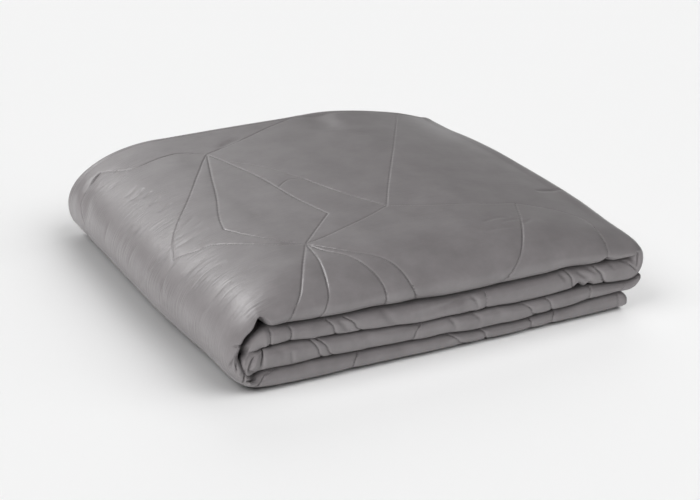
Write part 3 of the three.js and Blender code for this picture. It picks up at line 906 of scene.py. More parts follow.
def near_line(places: Array, line: Array) -> tuple[Array, Array]:
    """How places on the cloth lie against a line on it.

    Args:
        places: Rows of u and v.
        line: Points of the line.

    Returns:
        The distance to the line, and the length along it to the nearest point.
    """
    best = np.full(len(places), np.inf)
    along = np.zeros(len(places))
    start = 0.0
    for a, b in zip(line, line[1:]):
        run = b - a
        length = float(np.hypot(*run))
        t = np.clip(((places - a) @ run) / length**2, 0, 1)
        gap = np.hypot(*(places - a - t[:, None] * run).T)
        closer = gap < best
        best = np.where(closer, gap, best)
        along = np.where(closer, start + t * length, along)
        start += length
    return best, along


# Sockets of a mix of two colours
MIX_SHARE = 0
MIX_FIRST = 6
MIX_SECOND = 7
MIX_RESULT = 2


def srgb(code: str) -> tuple[float, float, float, float]:
    """Turns an sRGB hex colour into linear values.

    Args:
        code: Six hex digits.

    Returns:
        Red, green, blue and an alpha of 1.
    """
    parts = [int(code[i:i + 2], 16) / 255 for i in (0, 2, 4)]
    linear = [c / 12.92 if c <= 0.04045 else ((c + 0.055) / 1.055) ** 2.4 for c in parts]
    return (*linear, 1.0)


def add_node(
    tree: bpy.types.NodeTree,
    kind: str,
    links: dict[str | int, bpy.types.NodeSocket] | None = None,
    values: dict[str | int, object] | None = None,
    **settings: object,
) -> bpy.types.Node:
    """Adds a node with its settings, input values and links.

    Args:
        tree: Node tree to add to.
        kind: Blender's name for the node type.
        links: Output sockets by the input that each feeds.
        values: Plain values by input.
        **settings: Properties of the node itself.

    Returns:
        The new node.
    """
    node = tree.nodes.new(kind)
    for key, value in settings.items():
        setattr(node, key, value)
    for key, value in (values or {}).items():
        node.inputs[key].default_value = value
    for key, socket in (links or {}).items():
        tree.links.new(socket, node.inputs[key])
    return node


def new_material(name: str) -> tuple[bpy.types.Material, bpy.types.NodeTree, bpy.types.Node]:
    """Makes a node material.

    Args:
        name: Name of the real material.

    Returns:
        The material, its node tree and its main shader.
    """
    material = bpy.data.materials.new(name)
    material.use_nodes = True
    tree = material.node_tree
    return material, tree, tree.nodes["Principled BSDF"]


def per_metre(spacing: float) -> float:
    """Pattern scale, in repeats a metre, for a spacing in millimetres."""
    return 1 / (spacing * MM)


@dataclass(frozen=True)
class SatinCloth:
    """Satin-woven polyester: smooth, with long floats of thread that give a soft wide highlight."""

    name: str = "satin_woven_polyester"
    light: str = "868283"
    dark: str = "787475"
    # painted shade: a darker grey laid along each seam for the shade in its sunk groove
    seam: str = "706C6D"
    roughness: float = 0.35
    sheen: float = 0.12
    sheen_roughness: float = 0.4
    thread: float = 1.3  # satin threads lie about 0.2 mm apart, drawn coarser so that they show
    float_length: float = 6.0  # of a satin float, in threads
    weave_height: float = 0.25
    weave_strength: float = 0.3
    streak_length: float = 45.0
    streak_width: float = 3.0
    streak_height: float = 1.4
    streak_detail: float = 2.0
    streak_patch: float = 55.0
    patch_range: tuple[float, float] = (0.35, 0.65)
    patch_least: float = 0.25
    cloud: float = 40.0
    cloud_detail: float = 6.0
    cloud_roughness: float = 0.65
    cloud_range: tuple[float, float] = (0.3, 0.7)
    # reach from the seam line and share of the painted seam shade
    seam_shade_reach: float = 1.6
    seam_shade_share: float = 0.5
    plain_detail: float = 1.0  # of the patches and the weave

    def material(self) -> bpy.types.Material:
        """Builds the node material.

        Returns:
            The material of the cloth.
        """
        material, tree, shader = new_material(self.name)
        shader.inputs["Roughness"].default_value = self.roughness
        shader.inputs["Sheen Weight"].default_value = self.sheen
        shader.inputs["Sheen Roughness"].default_value = self.sheen_roughness
        place = add_node(tree, "ShaderNodeUVMap", uv_map="flat_cloth").outputs["UV"]
        tree.links.new(self._colour(tree, place), shader.inputs["Base Color"])
        tree.links.new(self._normal(tree, place), shader.inputs["Normal"])
        return material

    def _colour(self, tree: bpy.types.NodeTree, place: bpy.types.NodeSocket) -> bpy.types.NodeSocket:
        """Mottles the cloth's two greys, and paints shade along the seams, where the thread sinks the cloth
        into a groove.

        Args:
            tree: Node tree to add to.
            place: Place on the flat cloth.

        Returns:
            The socket of the colour.
        """
        clouds = add_node(
            tree, "ShaderNodeTexNoise", {"Vector": place},
            {"Scale": per_metre(self.cloud), "Detail": self.cloud_detail, "Roughness": self.cloud_roughness},
        ).outputs["Fac"]
        low, high = self.cloud_range
        mottle = add_node(
            tree, "ShaderNodeMapRange", {"Value": clouds}, {"From Min": low, "From Max": high},
        ).outputs["Result"]
        tone = add_node(
            tree, "ShaderNodeMix", {MIX_SHARE: mottle},
            {MIX_FIRST: srgb(self.dark), MIX_SECOND: srgb(self.light)}, data_type="RGBA",
        ).outputs[MIX_RESULT]
        # Painted shade: the seam grey is mixed in close to each seam's line, for the shade in its groove
        gap = add_node(tree, "ShaderNodeAttribute", attribute_name="seam_distance").outputs["Fac"]
        near = add_node(
            tree, "ShaderNodeMapRange", {"Value": gap},
            {"From Min": 0.0, "From Max": self.seam_shade_reach * MM, "To Min": self.seam_shade_share, "To Max": 0.0},
        ).outputs["Result"]
        return add_node(
            tree, "ShaderNodeMix", {MIX_SHARE: near, MIX_FIRST: tone}, {MIX_SECOND: srgb(self.seam)},
            data_type="RGBA",
        ).outputs[MIX_RESULT]

    def _normal(self, tree: bpy.types.NodeTree, place: bpy.types.NodeSocket) -> bpy.types.NodeSocket:
        """Raises the pull lines of the cloth, in patches, and its weave.

        Args:
            tree: Node tree to add to.
            place: Place on the flat cloth.

        Returns:
            The socket of the bumped normal.
        """
        streaks = self._drawn_out(tree, place, self.streak_length, self.streak_width, self.streak_detail)
        weave = self._drawn_out(
            tree, place, self.float_length * self.thread, self.thread, self.plain_detail,
        )
        patches = add_node(
            tree, "ShaderNodeTexNoise", {"Vector": place},
            {"Scale": per_metre(self.streak_patch), "Detail": self.plain_detail},
        ).outputs["Fac"]
        low, high = self.patch_range
        patch = add_node(
            tree, "ShaderNodeMapRange", {"Value": patches},
            {"From Min": low, "From Max": high, "To Min": self.patch_least},
        ).outputs["Result"]
        pull = add_node(tree, "ShaderNodeAttribute", attribute_name="pull").outputs["Fac"]
        strength = add_node(
            tree, "ShaderNodeMath", {0: pull, 1: patch}, operation="MULTIPLY",
        ).outputs["Value"]
        streaked = add_node(
            tree, "ShaderNodeBump", {"Height": streaks, "Strength": strength},
            {"Distance": self.streak_height * MM},
        ).outputs["Normal"]
        return add_node(
            tree, "ShaderNodeBump", {"Height": weave, "Normal": streaked},
            {"Strength": self.weave_strength, "Distance": self.weave_height * MM},
        ).outputs["Normal"]

    @staticmethod
    def _drawn_out(
        tree: bpy.types.NodeTree, place: bpy.types.NodeSocket, length: float, width: float, detail: float,
    ) -> bpy.types.NodeSocket:
        """A noise drawn out along the strip.

        Args:
            tree: Node tree to add to.
            place: Place on the flat cloth.
            length: Usual length of a streak.
            width: Usual width of a streak.
            detail: Finer layers of the noise.

        Returns:
            The socket of the noise.
        """
        stretched = add_node(
            tree, "ShaderNodeMapping", {"Vector": place},
            {"Scale": (per_metre(length), per_metre(width), 1.0)},
        ).outputs["Vector"]
        values = {"Scale": 1.0, "Detail": detail}
        return add_node(tree, "ShaderNodeTexNoise", {"Vector": stretched}, values).outputs["Fac"]


@dataclass(frozen=True)
class SewingThread:
    """Spun polyester sewing thread: matt, a shade lighter than the cloth, with its twist as fine bars."""

    name: str = "spun_polyester_thread"
    light: str = "A8A4A5"
    dark: str = "8C8889"
    roughness: float = 0.6
    twist: float = 0.6  # the twist of such thread repeats about every 0.6 mm

    def material(self) -> bpy.types.Material:
        """Builds the node material.

        Returns:
            The material of the thread.
        """
        material, tree, shader = new_material(self.name)
        shader.inputs["Roughness"].default_value = self.roughness
        place = add_node(tree, "ShaderNodeTexCoord").outputs["Object"]
        bars = add_node(tree, "ShaderNodeTexNoise", {"Vector": place}, {"Scale": per_metre(self.twist)})
        colour = add_node(
            tree, "ShaderNodeMix", {MIX_SHARE: bars.outputs["Fac"]},
            {MIX_FIRST: srgb(self.dark), MIX_SECOND: srgb(self.light)}, data_type="RGBA",
        ).outputs[MIX_RESULT]
        tree.links.new(colour, shader.inputs["Base Color"])
        return material


@dataclass(frozen=True)
class StudioFloor:
    """Matt painted board: an even pale floor."""

    name: str = "matt_painted_board"
    colour: str = "F4F4F4"
    roughness: float = 1.0
    gloss: float = 0.0

    def material(self) -> bpy.types.Material:
        """Builds the material.

        Returns:
            The material of the floor.
        """
        material, _, shader = new_material(self.name)
        shader.inputs["Base Color"].default_value = srgb(self.colour)
        shader.inputs["Roughness"].default_value = self.roughness
        shader.inputs["Specular IOR Level"].default_value = self.gloss
        return material


@dataclass(frozen=True)
class Ripples:
    """Uneven smooth ripples, long one way and close together the other."""

    height: float
    length: float
    spacing: float
    seed: int

    LATTICE = (97, 251)  # random heights along and across, after which they repeat

    def at(self, along: Array, across: Array) -> Array:
        """Height of the ripples.

        Args:
            along: Places along them.
            across: Places across them.

        Returns:
            The height at each place.
        """
        heights = np.random.default_rng(self.seed).uniform(-1, 1, self.LATTICE)
        i, j = along / self.length, across / self.spacing
        i0, j0 = np.floor(i).astype(int), np.floor(j).astype(int)
        s, t = smoothstep(i - i0, 0, 1), smoothstep(j - j0, 0, 1)

        def lattice(a: Array, b: Array) -> Array:
            """Heights at lattice places, repeating past the lattice."""
            return heights[a % heights.shape[0], b % heights.shape[1]]

        near = lattice(i0, j0) * (1 - t) + lattice(i0, j0 + 1) * t
        far = lattice(i0 + 1, j0) * (1 - t) + lattice(i0 + 1, j0 + 1) * t
        return self.height * (near * (1 - s) + far * s)


def link(obj: bpy.types.Object) -> bpy.types.Object:
    """Puts an object in the scene and returns it."""
    bpy.context.scene.collection.objects.link(obj)
    return obj


@dataclass
class ClothPlaces:
    """Places on the outer skin: the lap that each belongs to, or -1 off the skin, and its u and v there."""

    lap: Array
    u: Array
    v: Array

    def beside(self, lap: Lap, line: Array, reach: float) -> tuple[Array, Array, Array]:
        """Finds the places on a lap's cloth that lie about a line on it.

        Args:
            lap: The lap.
            line: Points of the line.
            reach: How far past the line's box to look.

        Returns:
            The numbers of the places, their distances from the line and the lengths along it to them.
        """
        low, high = line.min(0) - reach, line.max(0) + reach
        inside = (self.u > low[0]) & (self.u < high[0]) & (self.v > low[1]) & (self.v < high[1])
        rows = np.flatnonzero((self.lap == lap) & inside)
        gap, run = near_line(np.stack([self.u[rows], self.v[rows]], -1), line)
        return rows, gap, run


@dataclass
class SeamField:
    """How places on the cloth lie against the seam nearest to each: its depth and number are that seam's."""

    distance: Array
    along: Array
    depth: Array
    number: Array


@dataclass
class BlanketCloth:
    """The padded cloth as one closed mesh on the folded strip."""

    strip: FoldedStrip
    name: str = "blanket_cloth"
    finish: SatinCloth = SatinCloth()
    flat_m: tuple[float, float] = (2.29, 2.29)
    groove_depth: float = 0.65
    groove_width: float = 1.0
    puff_depth: float = 0.25
    puff_width: float = 9.0
    fold_groove: float = 0.65  # added over the top lap's front fold, and so is the next
    fold_puff: float = 0.7
    lap_groove: float = 1.1  # added on the lower laps, and so is the next
    lap_puff: float = 1.0
    pucker_height: float = 0.15
    pucker_spacing: float = 10.0
    pucker_width: float = 7.0
    pucker_swell: float = 3.3  # puckers in a swell of them
    pucker_shift: float = 1.7  # angle between one seam's puckers and the next's
    crease_reach: float = 3.0  # in widths of the crease
    crease_fade: float = 0.6  # exponent of the fade to a crease's ends
    sunk_share: float = 0.85  # share of a sheet's thickness that a trough may take up
    trough_easing: int = 4  # exponent, higher for a later and sharper stop
    lap_settling: float = 4.5  # rise of the laps inside the pile, where they nest
    top_pull: float = 0.12
    lap_pull: float = 0.25
    back_calm: float = 0.8  # share of the pull lines that the wrap's back edge lacks
    front_calm: float = 0.75  # share of them that its shoulder lacks by the front fold
    snap_reach: float = 0.45
    snap_step: float = 1e-3
    snap_margin: float = 0.05
    seam_reach: float = 45.0
    narrow_crease: float = 4.0
    floor_room: float = 0.3
    weld_m: float = 1e-6

    BANDS = (math.inf, 5.0, 2.2, 0.8)  # distances from a seam within which the faces are halved, and again
    LAP_STEPS = {
        Lap.BOTTOM: 32, Lap.WRAP: 22, Lap.TOP: 34, Lap.TURN: 6, Lap.SECOND: 32, Lap.INNER: 8, Lap.THIRD: 32,
    }
    SIDE_STEPS = {
        Side.FACE: 34, Side.SHOULDER: 8, Side.UNDERFOLD: 4, Side.LINING: 6, Side.BACK_FOLD: 6, Side.SLOT: 16,
        Side.INNER_HEM: 4, Side.INNER_SKIN: 16, Side.SKIN_LINING: 16, Side.OUTER_HEM: 3,
    }
    SKIN_END = Side.LINING + 0.5  # past here the cloth lies inside the fold

    WRAP_RIPPLES = Ripples(height=0.1, length=60, spacing=9, seed=4)
    UNEVENNESS = Ripples(height=0.25, length=45, spacing=30, seed=9)
    LAP_WAVER = Ripples(height=1.6, length=34, spacing=20, seed=7)

    # Rises over the cloth's u and v
    OVER_FRONT = Rise(185, 245)
    WRAP_FOOT = Rise(-390, -320)
    WRAP_SHOULDER = Rise(-225, -170)
    PULL_SHOULDER = Rise(-240, -185)
    PULL_SIDE = Rise(-325, -290)
    PULL_BACK = Rise(222, 234)
    PULL_FRONT = Rise(175, 230)

    # Rises over the strip's p and q, where the cloth comes free of what it lies on
    TUCK = Rise(2.6, 3.0)
    BUNCHED_TUCK = Rise(2.9, 3.2)
    RIM = Rise(0.0, 0.02)
    FOLD_FACE = Rise(1.0, 1.25)
    OFF_GROUND = Rise(1.05, 1.2)
    FOOT_FRONT = Rise(1.4, 1.7)

    # Rises in space, for the laps as a hand laid them
    OFF_FLOOR = Rise(4, 24)
    INTO_TOP = Rise(78, 104)
    NEAR_FRONT = Rise(150, 235)
    NEAR_EDGE = Rise(120, 220)
    PAST_WRAP = Rise(-262, -235)

    def build(self) -> bpy.types.Object:
        """Makes the mesh and dresses it.

        Returns:
            The cloth's object, with its map and its point attributes.
        """
        bm = self._parameter_grid()
        self._refine(bm)
        p, q = self._snap(*self._parameters(bm))
        base = self._laid(p, q)
        for vert, co in zip(bm.verts, base * MM):
            vert.co = co
        bm.normal_update()
        normals = np.array([vert.normal for vert in bm.verts])
        if not self._faces_out(bm):
            normals = -normals
        places = self._skin(p, q)
        field = self._seam_field(places)
        height = self._relief(places, field) * self._free(places.lap, p, q)
        height = self._within(height, self.sunk_share * self.strip.sheet_thickness(p))
        shaped = base + normals * height[:, None]
        shaped[:, 2] = np.maximum(shaped[:, 2], np.minimum(base[:, 2], self.floor_room))
        for vert, co in zip(bm.verts, shaped * MM):
            vert.co = co
        length = np.interp(p, self.strip.fine, self.strip.cloth_run)
        flat = np.column_stack([length, places.v, np.zeros(len(length))]) * MM
        skin = np.column_stack([places.u, places.v, places.lap])
        layers = bm.verts.layers
        self._write(bm, layers.float_vector.new("flat_place"), flat)
        self._write(bm, layers.float_vector.new("skin_place"), skin)
        self._write(bm, layers.float.new("seam_distance"), field.distance * MM)
        self._write(bm, layers.float.new("pull"), self._pull(places))
        self._close(bm)
        mesh = bpy.data.meshes.new(self.name)
        bm.to_mesh(mesh)
        bm.free()
        self._unfold_uv(mesh)
        mesh.shade_smooth()
        mesh.materials.append(self.finish.material())
        return link(bpy.data.objects.new(self.name, mesh))

    @staticmethod
    def _write(bm: bmesh.types.BMesh, layer: bmesh.types.BMLayerItem, values: Array) -> None:
        """Gives each point of the mesh its number, or its row of three, in an attribute's layer."""
        for vert, value in zip(bm.verts, values.tolist()):
            vert[layer] = value

    def _parameter_grid(self) -> bmesh.types.BMesh:
        """A flat grid to fold.

        Returns:
            A grid whose x is the place along the strip and whose y the place round the section.
        """
        laps = list(self.LAP_STEPS.values())
        sides = list(self.SIDE_STEPS.values())
        bm = bmesh.new()
        bmesh.ops.create_grid(bm, x_segments=sum(laps), y_segments=sum(sides), size=0.5)
        along = np.concatenate([[0], np.cumsum(laps)])
        around = np.concatenate([[0], np.cumsum(sides)])
        co = np.array([vert.co[:2] for vert in bm.verts])
        low, high = co.min(0), co.max(0)
        share = (co - low) / (high - low)
        p = np.interp(share[:, 0] * along[-1], along, np.arange(len(along)))
        q = np.interp(share[:, 1] * around[-1], around, np.arange(len(around)))
        for vert, pi, qi in zip(bm.verts, p, q):
            vert.co = (pi, qi, 0)
        return bm

    @staticmethod
    def _parameters(bm: bmesh.types.BMesh) -> tuple[Array, Array]:
        """Places along and round the strip of the grid's points."""
        p, q = np.array([vert.co[:2] for vert in bm.verts]).T
        return p, q

    def _refine(self, bm: bmesh.types.BMesh) -> None:
        """Halves the faces that show, and again those nearer and nearer to a seam or a narrow crease.

        Args:
            bm: The flat grid.
        """
        last = len(self.BANDS) - 1
        for step, band in enumerate(self.BANDS):
            bm.verts.index_update()
            near = self._detail_distance(*self._parameters(bm), creases=step < last) < band
            edges: dict[bmesh.types.BMEdge, None] = {}
            for face in bm.faces:
                p, q, _ = face.calc_center_median()
                beside = any(near[vert.index] for vert in face.verts)
                if Lap.WRAP < p < Lap.SECOND and not Side.LINING < q < Side.OUTER_HEM:
                    round_wrap = step == 1 and p < Lap.TOP
                    if beside or round_wrap:
                        edges.update(dict.fromkeys(face.edges))
                elif Side.SHOULDER < q < Side.LINING:
                    whole = step > 1
                    if beside or not whole:
                        chosen = [edge for edge in face.edges if whole or self._runs_along(edge)]
                        edges.update(dict.fromkeys(chosen))
            bmesh.ops.subdivide_edges(bm, edges=list(edges), cuts=1, use_grid_fill=True)

    @staticmethod
    def _runs_along(edge: bmesh.types.BMEdge) -> bool:
        """Whether an edge of the grid runs along the strip."""
        return edge.verts[0].co.y == edge.verts[1].co.y

    def _detail_distance(self, p: Array, q: Array, creases: bool) -> Array:
        """Distance from each place to the nearest seam, or to a narrow crease as well.

        Args:
            p: Places along the strip.
            q: Places round the section.
            creases: Whether narrow creases count.

        Returns:
            The distance at each place.
        """
        places = self._skin(p, q)
        distance = self._seam_field(places).distance
        for crease in CREASES if creases else ():
            if crease.width < self.narrow_crease:
                rows, gap, _ = places.beside(crease.lap, crease.curve(), self.BANDS[1])
                distance[rows] = np.minimum(distance[rows], gap)
        return distance

    def _skin(self, p: Array, q: Array) -> ClothPlaces:
        """Where each place lies on the outer skin.

        Args:
            p: Places along the strip.
            q: Places round the section.

        Returns:
            The places on the skin.
        """
        lap = np.clip(np.floor(p), 0, len(Lap) - 1).astype(int)
        upper = (p >= Lap.WRAP) & (p <= Lap.SECOND)
        lap = np.where(upper, int(Lap.TOP), lap)
        lap = np.where(q <= self.SKIN_END, lap, -1)
        return ClothPlaces(lap, self.strip.cloth_u(p), self.strip.cloth_v(p, np.minimum(q, Side.BACK_FOLD)))

    def _seam_field(self, places: ClothPlaces) -> SeamField:
        """How places on the skin lie against the seams.

        Args:
            places: The places.

        Returns:
            The distance to the nearest seam, the length along it, its depth and its number.
        """
        count = len(places.u)
        field = SeamField(
            np.full(count, self.seam_reach), np.zeros(count), np.zeros(count), np.zeros(count, dtype=int),
        )
        for number, seam in enumerate(SEAMS):
            rows, gap, run = places.beside(seam.lap, seam.curve(), self.seam_reach)
            closer = gap < field.distance[rows]
            rows = rows[closer]
            field.distance[rows] = gap[closer]
            field.along[rows] = run[closer]
            field.depth[rows] = seam.depth
            field.number[rows] = number
        return field

    def _snap(self, p: Array, q: Array) -> tuple[Array, Array]:
        """Moves the points beside a seam along the cloth onto it, so that its groove is clean.

        Args:
            p: Places along the strip.
            q: Places round the section.

        Returns:
            The moved places.
        """
        p, q = p.copy(), q.copy()
        step = self.snap_step
        places = self._skin(p, q)
        loose = (q > self.snap_margin) & (q < Side.LINING - self.snap_margin)
        for seam in SEAMS:
            line = seam.curve()
            rows, gap, run = places.beside(seam.lap, line, self.snap_reach)
            close = loose[rows] & (gap < self.snap_reach)
            rows, run = rows[close], run[close]
            aim_u, aim_v = (np.interp(run, running(line), column) for column in line.T)
            pr, qr, u, v = p[rows], q[rows], places.u[rows], places.v[rows]
            u_p = (self.strip.cloth_u(pr + step) - u) / step
            v_p = (self.strip.cloth_v(pr + step, qr) - v) / step
            v_q = (self.strip.cloth_v(pr, qr + step) - v) / step
            dp = (aim_u - u) / u_p
            p[rows] += dp
            q[rows] += (aim_v - v - v_p * dp) / v_q
            places.u[rows] = aim_u
            places.v[rows] = aim_v
        return p, q

    def _laid(self, p: Array, q: Array) -> Array:
        """Places of the folded cloth in space, as a hand laid and pushed it, before its relief.

        Args:
            p: Places along the strip.
            q: Places round the section.

        Returns:
            Rows of x, y and z.
        """
        points = self.strip.points(p, q)
        lap = np.clip(np.floor(p), 0, len(Lap) - 1).astype(int)
        inner = (q > Side.SLOT) & (q < Side.OUTER_HEM)
        points = points + sum(push.offsets(lap, inner, points) for push in PUSHES)
        x, y, z = points.T
        lifted = self.OFF_FLOOR.at(z) * (1 - self.INTO_TOP.at(z))
        waver = self.LAP_WAVER.at(x, z) * self.NEAR_FRONT.at(-y)
        inside = (1 - self.NEAR_EDGE.at(np.abs(y))) * self.PAST_WRAP.at(x)
        points[:, 2] += lifted * (waver + self.lap_settling * inside)
        return points

    def _relief(self, places: ClothPlaces, field: SeamField) -> Array:
        """Height of the cloth's surface over its even fold: seams, puckers, ripples and creases.

        Args:
            places: Places on the skin.
            field: How they lie against the seams.

        Returns:
            The height at each place.
        """
        u, v = places.u, places.v
        upper = places.lap == Lap.TOP
        lower = ~upper
        over = np.where(upper, self.OVER_FRONT.at(-v), 0)
        sewn_in = self.groove_depth + self.fold_groove * over + self.lap_groove * lower
        padding = self.puff_depth + self.fold_puff * over + self.lap_puff * lower
        groove = -sewn_in * np.exp(-((field.distance / self.groove_width) ** 2))
        puff = -padding * np.exp(-field.distance / self.puff_width)
        turns = 2 * np.pi * field.along / self.pucker_spacing
        beat = np.sin(turns + self.pucker_shift * field.number)
        beat *= np.sin(turns / self.pucker_swell + field.number)
        pucker = self.pucker_height * beat * np.exp(-field.distance / self.pucker_width)
        height = (groove + puff + pucker) * field.depth
        for crease in CREASES:
            line = crease.curve()
            rows, gap, run = places.beside(crease.lap, line, self.crease_reach * crease.width)
            fade = np.sin(np.pi * np.clip(run / running(line)[-1], 0, 1)) ** self.crease_fade
            height[rows] += crease.height * fade * np.exp(-((gap / crease.width) ** 2))
        on_wrap = upper * self.WRAP_FOOT.at(u) * (1 - self.WRAP_SHOULDER.at(u))
        return height + on_wrap * self.WRAP_RIPPLES.at(u, v) + self.UNEVENNESS.at(u, v)

    def _within(self, height: Array, limit: Array) -> Array:
        """Eases the deepest troughs off, so that they stay inside the sheet they are in."""
        over = np.maximum(-height, 0) / limit
        return height / (1 + over**self.trough_easing) ** (1 / self.trough_easing)

    def _free(self, lap: Array, p: Array, q: Array) -> Array:
        """Share of the relief that each place may show: none where the cloth lies on other cloth.

        Args:
            lap: Lap of each place, or -1 off the skin.
            p: Places along the strip.
            q: Places round the section.

        Returns:
            The share at each place.
        """
        on_wrap = (p > Lap.WRAP) & (p < Lap.TOP)
        bunched = on_wrap | (p > Lap.INNER) & (p < Lap.THIRD)
        tucked = np.where(bunched, self.BUNCHED_TUCK.at(q), self.TUCK.at(q))
        edges = self.RIM.at(q) * self.RIM.at(p) * self.RIM.at(len(Lap) - p)
        lies = np.where(lap == Lap.TOP, 0.0, 1 - self.FOLD_FACE.at(q))
        above_floor = np.maximum(self.OFF_GROUND.at(p), self.FOOT_FRONT.at(q))
        wrap_foot = np.where(on_wrap, above_floor, 1.0)
        return np.where(lap < 0, 0.0, (1 - tucked) * edges * (1 - lies) * wrap_foot)

    def _pull(self, places: ClothPlaces) -> Array:
        """Share of the fine pull lines that the cloth shows: most round the wrap, few elsewhere.

        Args:
            places: Places on the skin.

        Returns:
            The share at each place.
        """
        u, v = places.u, places.v
        wrap = (1 - self.PULL_SHOULDER.at(u)) * (1 - self.back_calm * self.PULL_BACK.at(v))
        wrap *= 1 - self.front_calm * self.PULL_FRONT.at(-v) * self.PULL_SIDE.at(u)
        return np.where(places.lap == Lap.TOP, self.top_pull + (1 - self.top_pull) * wrap, self.lap_pull)

    @staticmethod
    def _faces_out(bm: bmesh.types.BMesh) -> bool:
        """Whether the normals of the open tube point away from its inside."""
        return bm.calc_volume(signed=True) > 0

    def _close(self, bm: bmesh.types.BMesh) -> None:
        """Joins the section's start to its end and closes the strip's two free ends.

        Args:
            bm: The folded cloth.
        """
        rims = [vert for vert in bm.verts if vert.is_boundary]
        bmesh.ops.remove_doubles(bm, verts=rims, dist=self.weld_m)
        open_edges = [edge for edge in bm.edges if edge.is_boundary]
        caps = bmesh.ops.holes_fill(bm, edges=open_edges, sides=0)["faces"]
        bmesh.ops.triangulate(bm, faces=caps)
        if not self._faces_out(bm):
            bmesh.ops.reverse_faces(bm, faces=bm.faces)
        LOG.info("open edges closed: %d, caps: %d", len(open_edges), len(caps))

    @staticmethod
    def _unfold_uv(mesh: bpy.types.Mesh) -> None:
        """Lays the map of the flat cloth out from each point's place on it.

        Args:
            mesh: The cloth's mesh.
        """
        places = read_places(mesh, "flat_place")
        corners = np.zeros(len(mesh.loops), dtype=int)
        mesh.loops.foreach_get("vertex_index", corners)
        layer = mesh.uv_layers.new(name="flat_cloth")
        layer.uv.foreach_set("vector", places[corners, :2].ravel())


def read_places(mesh: bpy.types.Mesh, name: str) -> Array:
    """Reads a point attribute of three numbers and takes it off the mesh.

    Args:
        mesh: The mesh that has it.
        name: Name of the attribute.

    Returns:
        One row for each point.
    """
    places = np.zeros(len(mesh.vertices) * 3)
    mesh.attributes[name].data.foreach_get("vector", places)
    mesh.attributes.remove(mesh.attributes[name])
    return places.reshape(-1, 3)


@dataclass
class QuiltingThread:
    """Running stitches of the quilting and the hems, sewn onto the finished cloth as one mesh."""

    name: str = "quilting_thread"
    finish: SewingThread = SewingThread()
    pitch: float = 3.4
    length: float = 2.6
    thickness: float = 0.55
    sides: int = 5
    rings: int = 4

    def build(self, cloth: bpy.types.Object) -> bpy.types.Object:
        """Sews the stitches and dresses them.

        Args:
            cloth: The cloth, with its skin_place attribute.

        Returns:
            The object that holds every stitch.
        """
        points = np.zeros(len(cloth.data.vertices) * 3)
        cloth.data.vertices.foreach_get("co", points)
        points = points.reshape(-1, 3)
        skin = read_places(cloth.data, "skin_place")
        flat = np.column_stack([skin[:, :2], np.zeros(len(skin))])
        cloth.data.calc_loop_triangles()
        triangles = np.zeros(len(cloth.data.loop_triangles) * 3, dtype=int)
        cloth.data.loop_triangles.foreach_get("vertices", triangles)
        triangles = triangles.reshape(-1, 3)
        frames = []
        for lap in sorted({seam.lap for seam in SEAMS}):
            own = triangles[(skin[triangles, 2] == lap).all(1)]
            tree = BVHTree.FromPolygons(flat.tolist(), own.tolist())
            for seam in SEAMS:
                if seam.lap == lap:
                    frames += self._stitches(seam, tree, own, flat, points)
        mesh = self._joined(frames)
        mesh.materials.append(self.finish.material())
        LOG.info("stitches: %d", len(frames))
        return link(bpy.data.objects.new(self.name, mesh))

    def _stitches(
        self, seam: Seam, tree: BVHTree, triangles: Array, flat: Array, points: Array,
    ) -> list[Matrix]:
        """Places a seam's stitches on the cloth.

        Args:
            seam: The seam.
            tree: The lap's cloth laid flat, by u and v.
            triangles: The tree's faces, as numbers of points.
            flat: Place of each point on the cloth laid flat.
            points: Place of each point in space.

        Returns:
            The place, direction and size of each stitch.
        """
        line = seam.curve()
        lengths = running(line)
        frames = []
        for start in np.arange(self.pitch / 2, lengths[-1] - self.length, self.pitch):
            ends = []
            for run in (start, start + self.length):
                place = [np.interp(run, lengths, column) for column in line.T]
                hit, _, number, gap = tree.find_nearest(Vector((*place, 0)))
                if gap > self.pitch:
                    break
                corners = triangles[number]
                weights = poly_3d_calc([Vector(flat[i]) for i in corners], hit)
                ends.append(np.array(weights) @ points[corners])
            if len(ends) == 2:
                a, b, c = points[corners]
                normal = np.cross(b - a, c - a)
                frames.append(self._frame(*ends, normal / np.linalg.norm(normal)))
        return frames

    def _frame(self, start: Array, end: Array, normal: Array) -> Matrix:
        """Lays one stitch on the cloth.

        Args:
            start: Where it comes up.
            end: Where it goes down.
            normal: Direction out of the cloth.

        Returns:
            Its place, direction and size, for a round stitch of radius 1 with its poles at its ends.
        """
        run = end - start
        across = np.cross(normal, run)
        across /= np.linalg.norm(across)
        half = self.thickness * MM / 2
        laid = np.eye(4)
        laid[:3] = np.column_stack([across * half, normal * half, run / 2, (start + end) / 2])
        return Matrix(laid)

    def _joined(self, frames: list[Matrix]) -> bpy.types.Mesh:
        """Joins copies of a small round stitch.

        Args:
            frames: Place, direction and size of each copy.

        Returns:
            One mesh of all of them.
        """
        bm = bmesh.new()
        bmesh.ops.create_uvsphere(bm, u_segments=self.sides, v_segments=self.rings, radius=1)
        stitch = bpy.data.meshes.new("stitch")
        bm.to_mesh(stitch)
        bm.clear()
        for laid in frames:
            placed = stitch.copy()
            placed.transform(laid)
            bm.from_mesh(placed)
            bpy.data.meshes.remove(placed)
        bpy.data.meshes.remove(stitch)
        mesh = bpy.data.meshes.new(self.name)
        bm.to_mesh(mesh)
        bm.free()
        mesh.shade_smooth()
        return mesh


class Lights(Enum):
    """What a lamp lights: the floor, the cloth's matt tone, or its gloss."""

    FLOOR = "floor"
    MATT = "matt"
    GLOSS = "gloss"


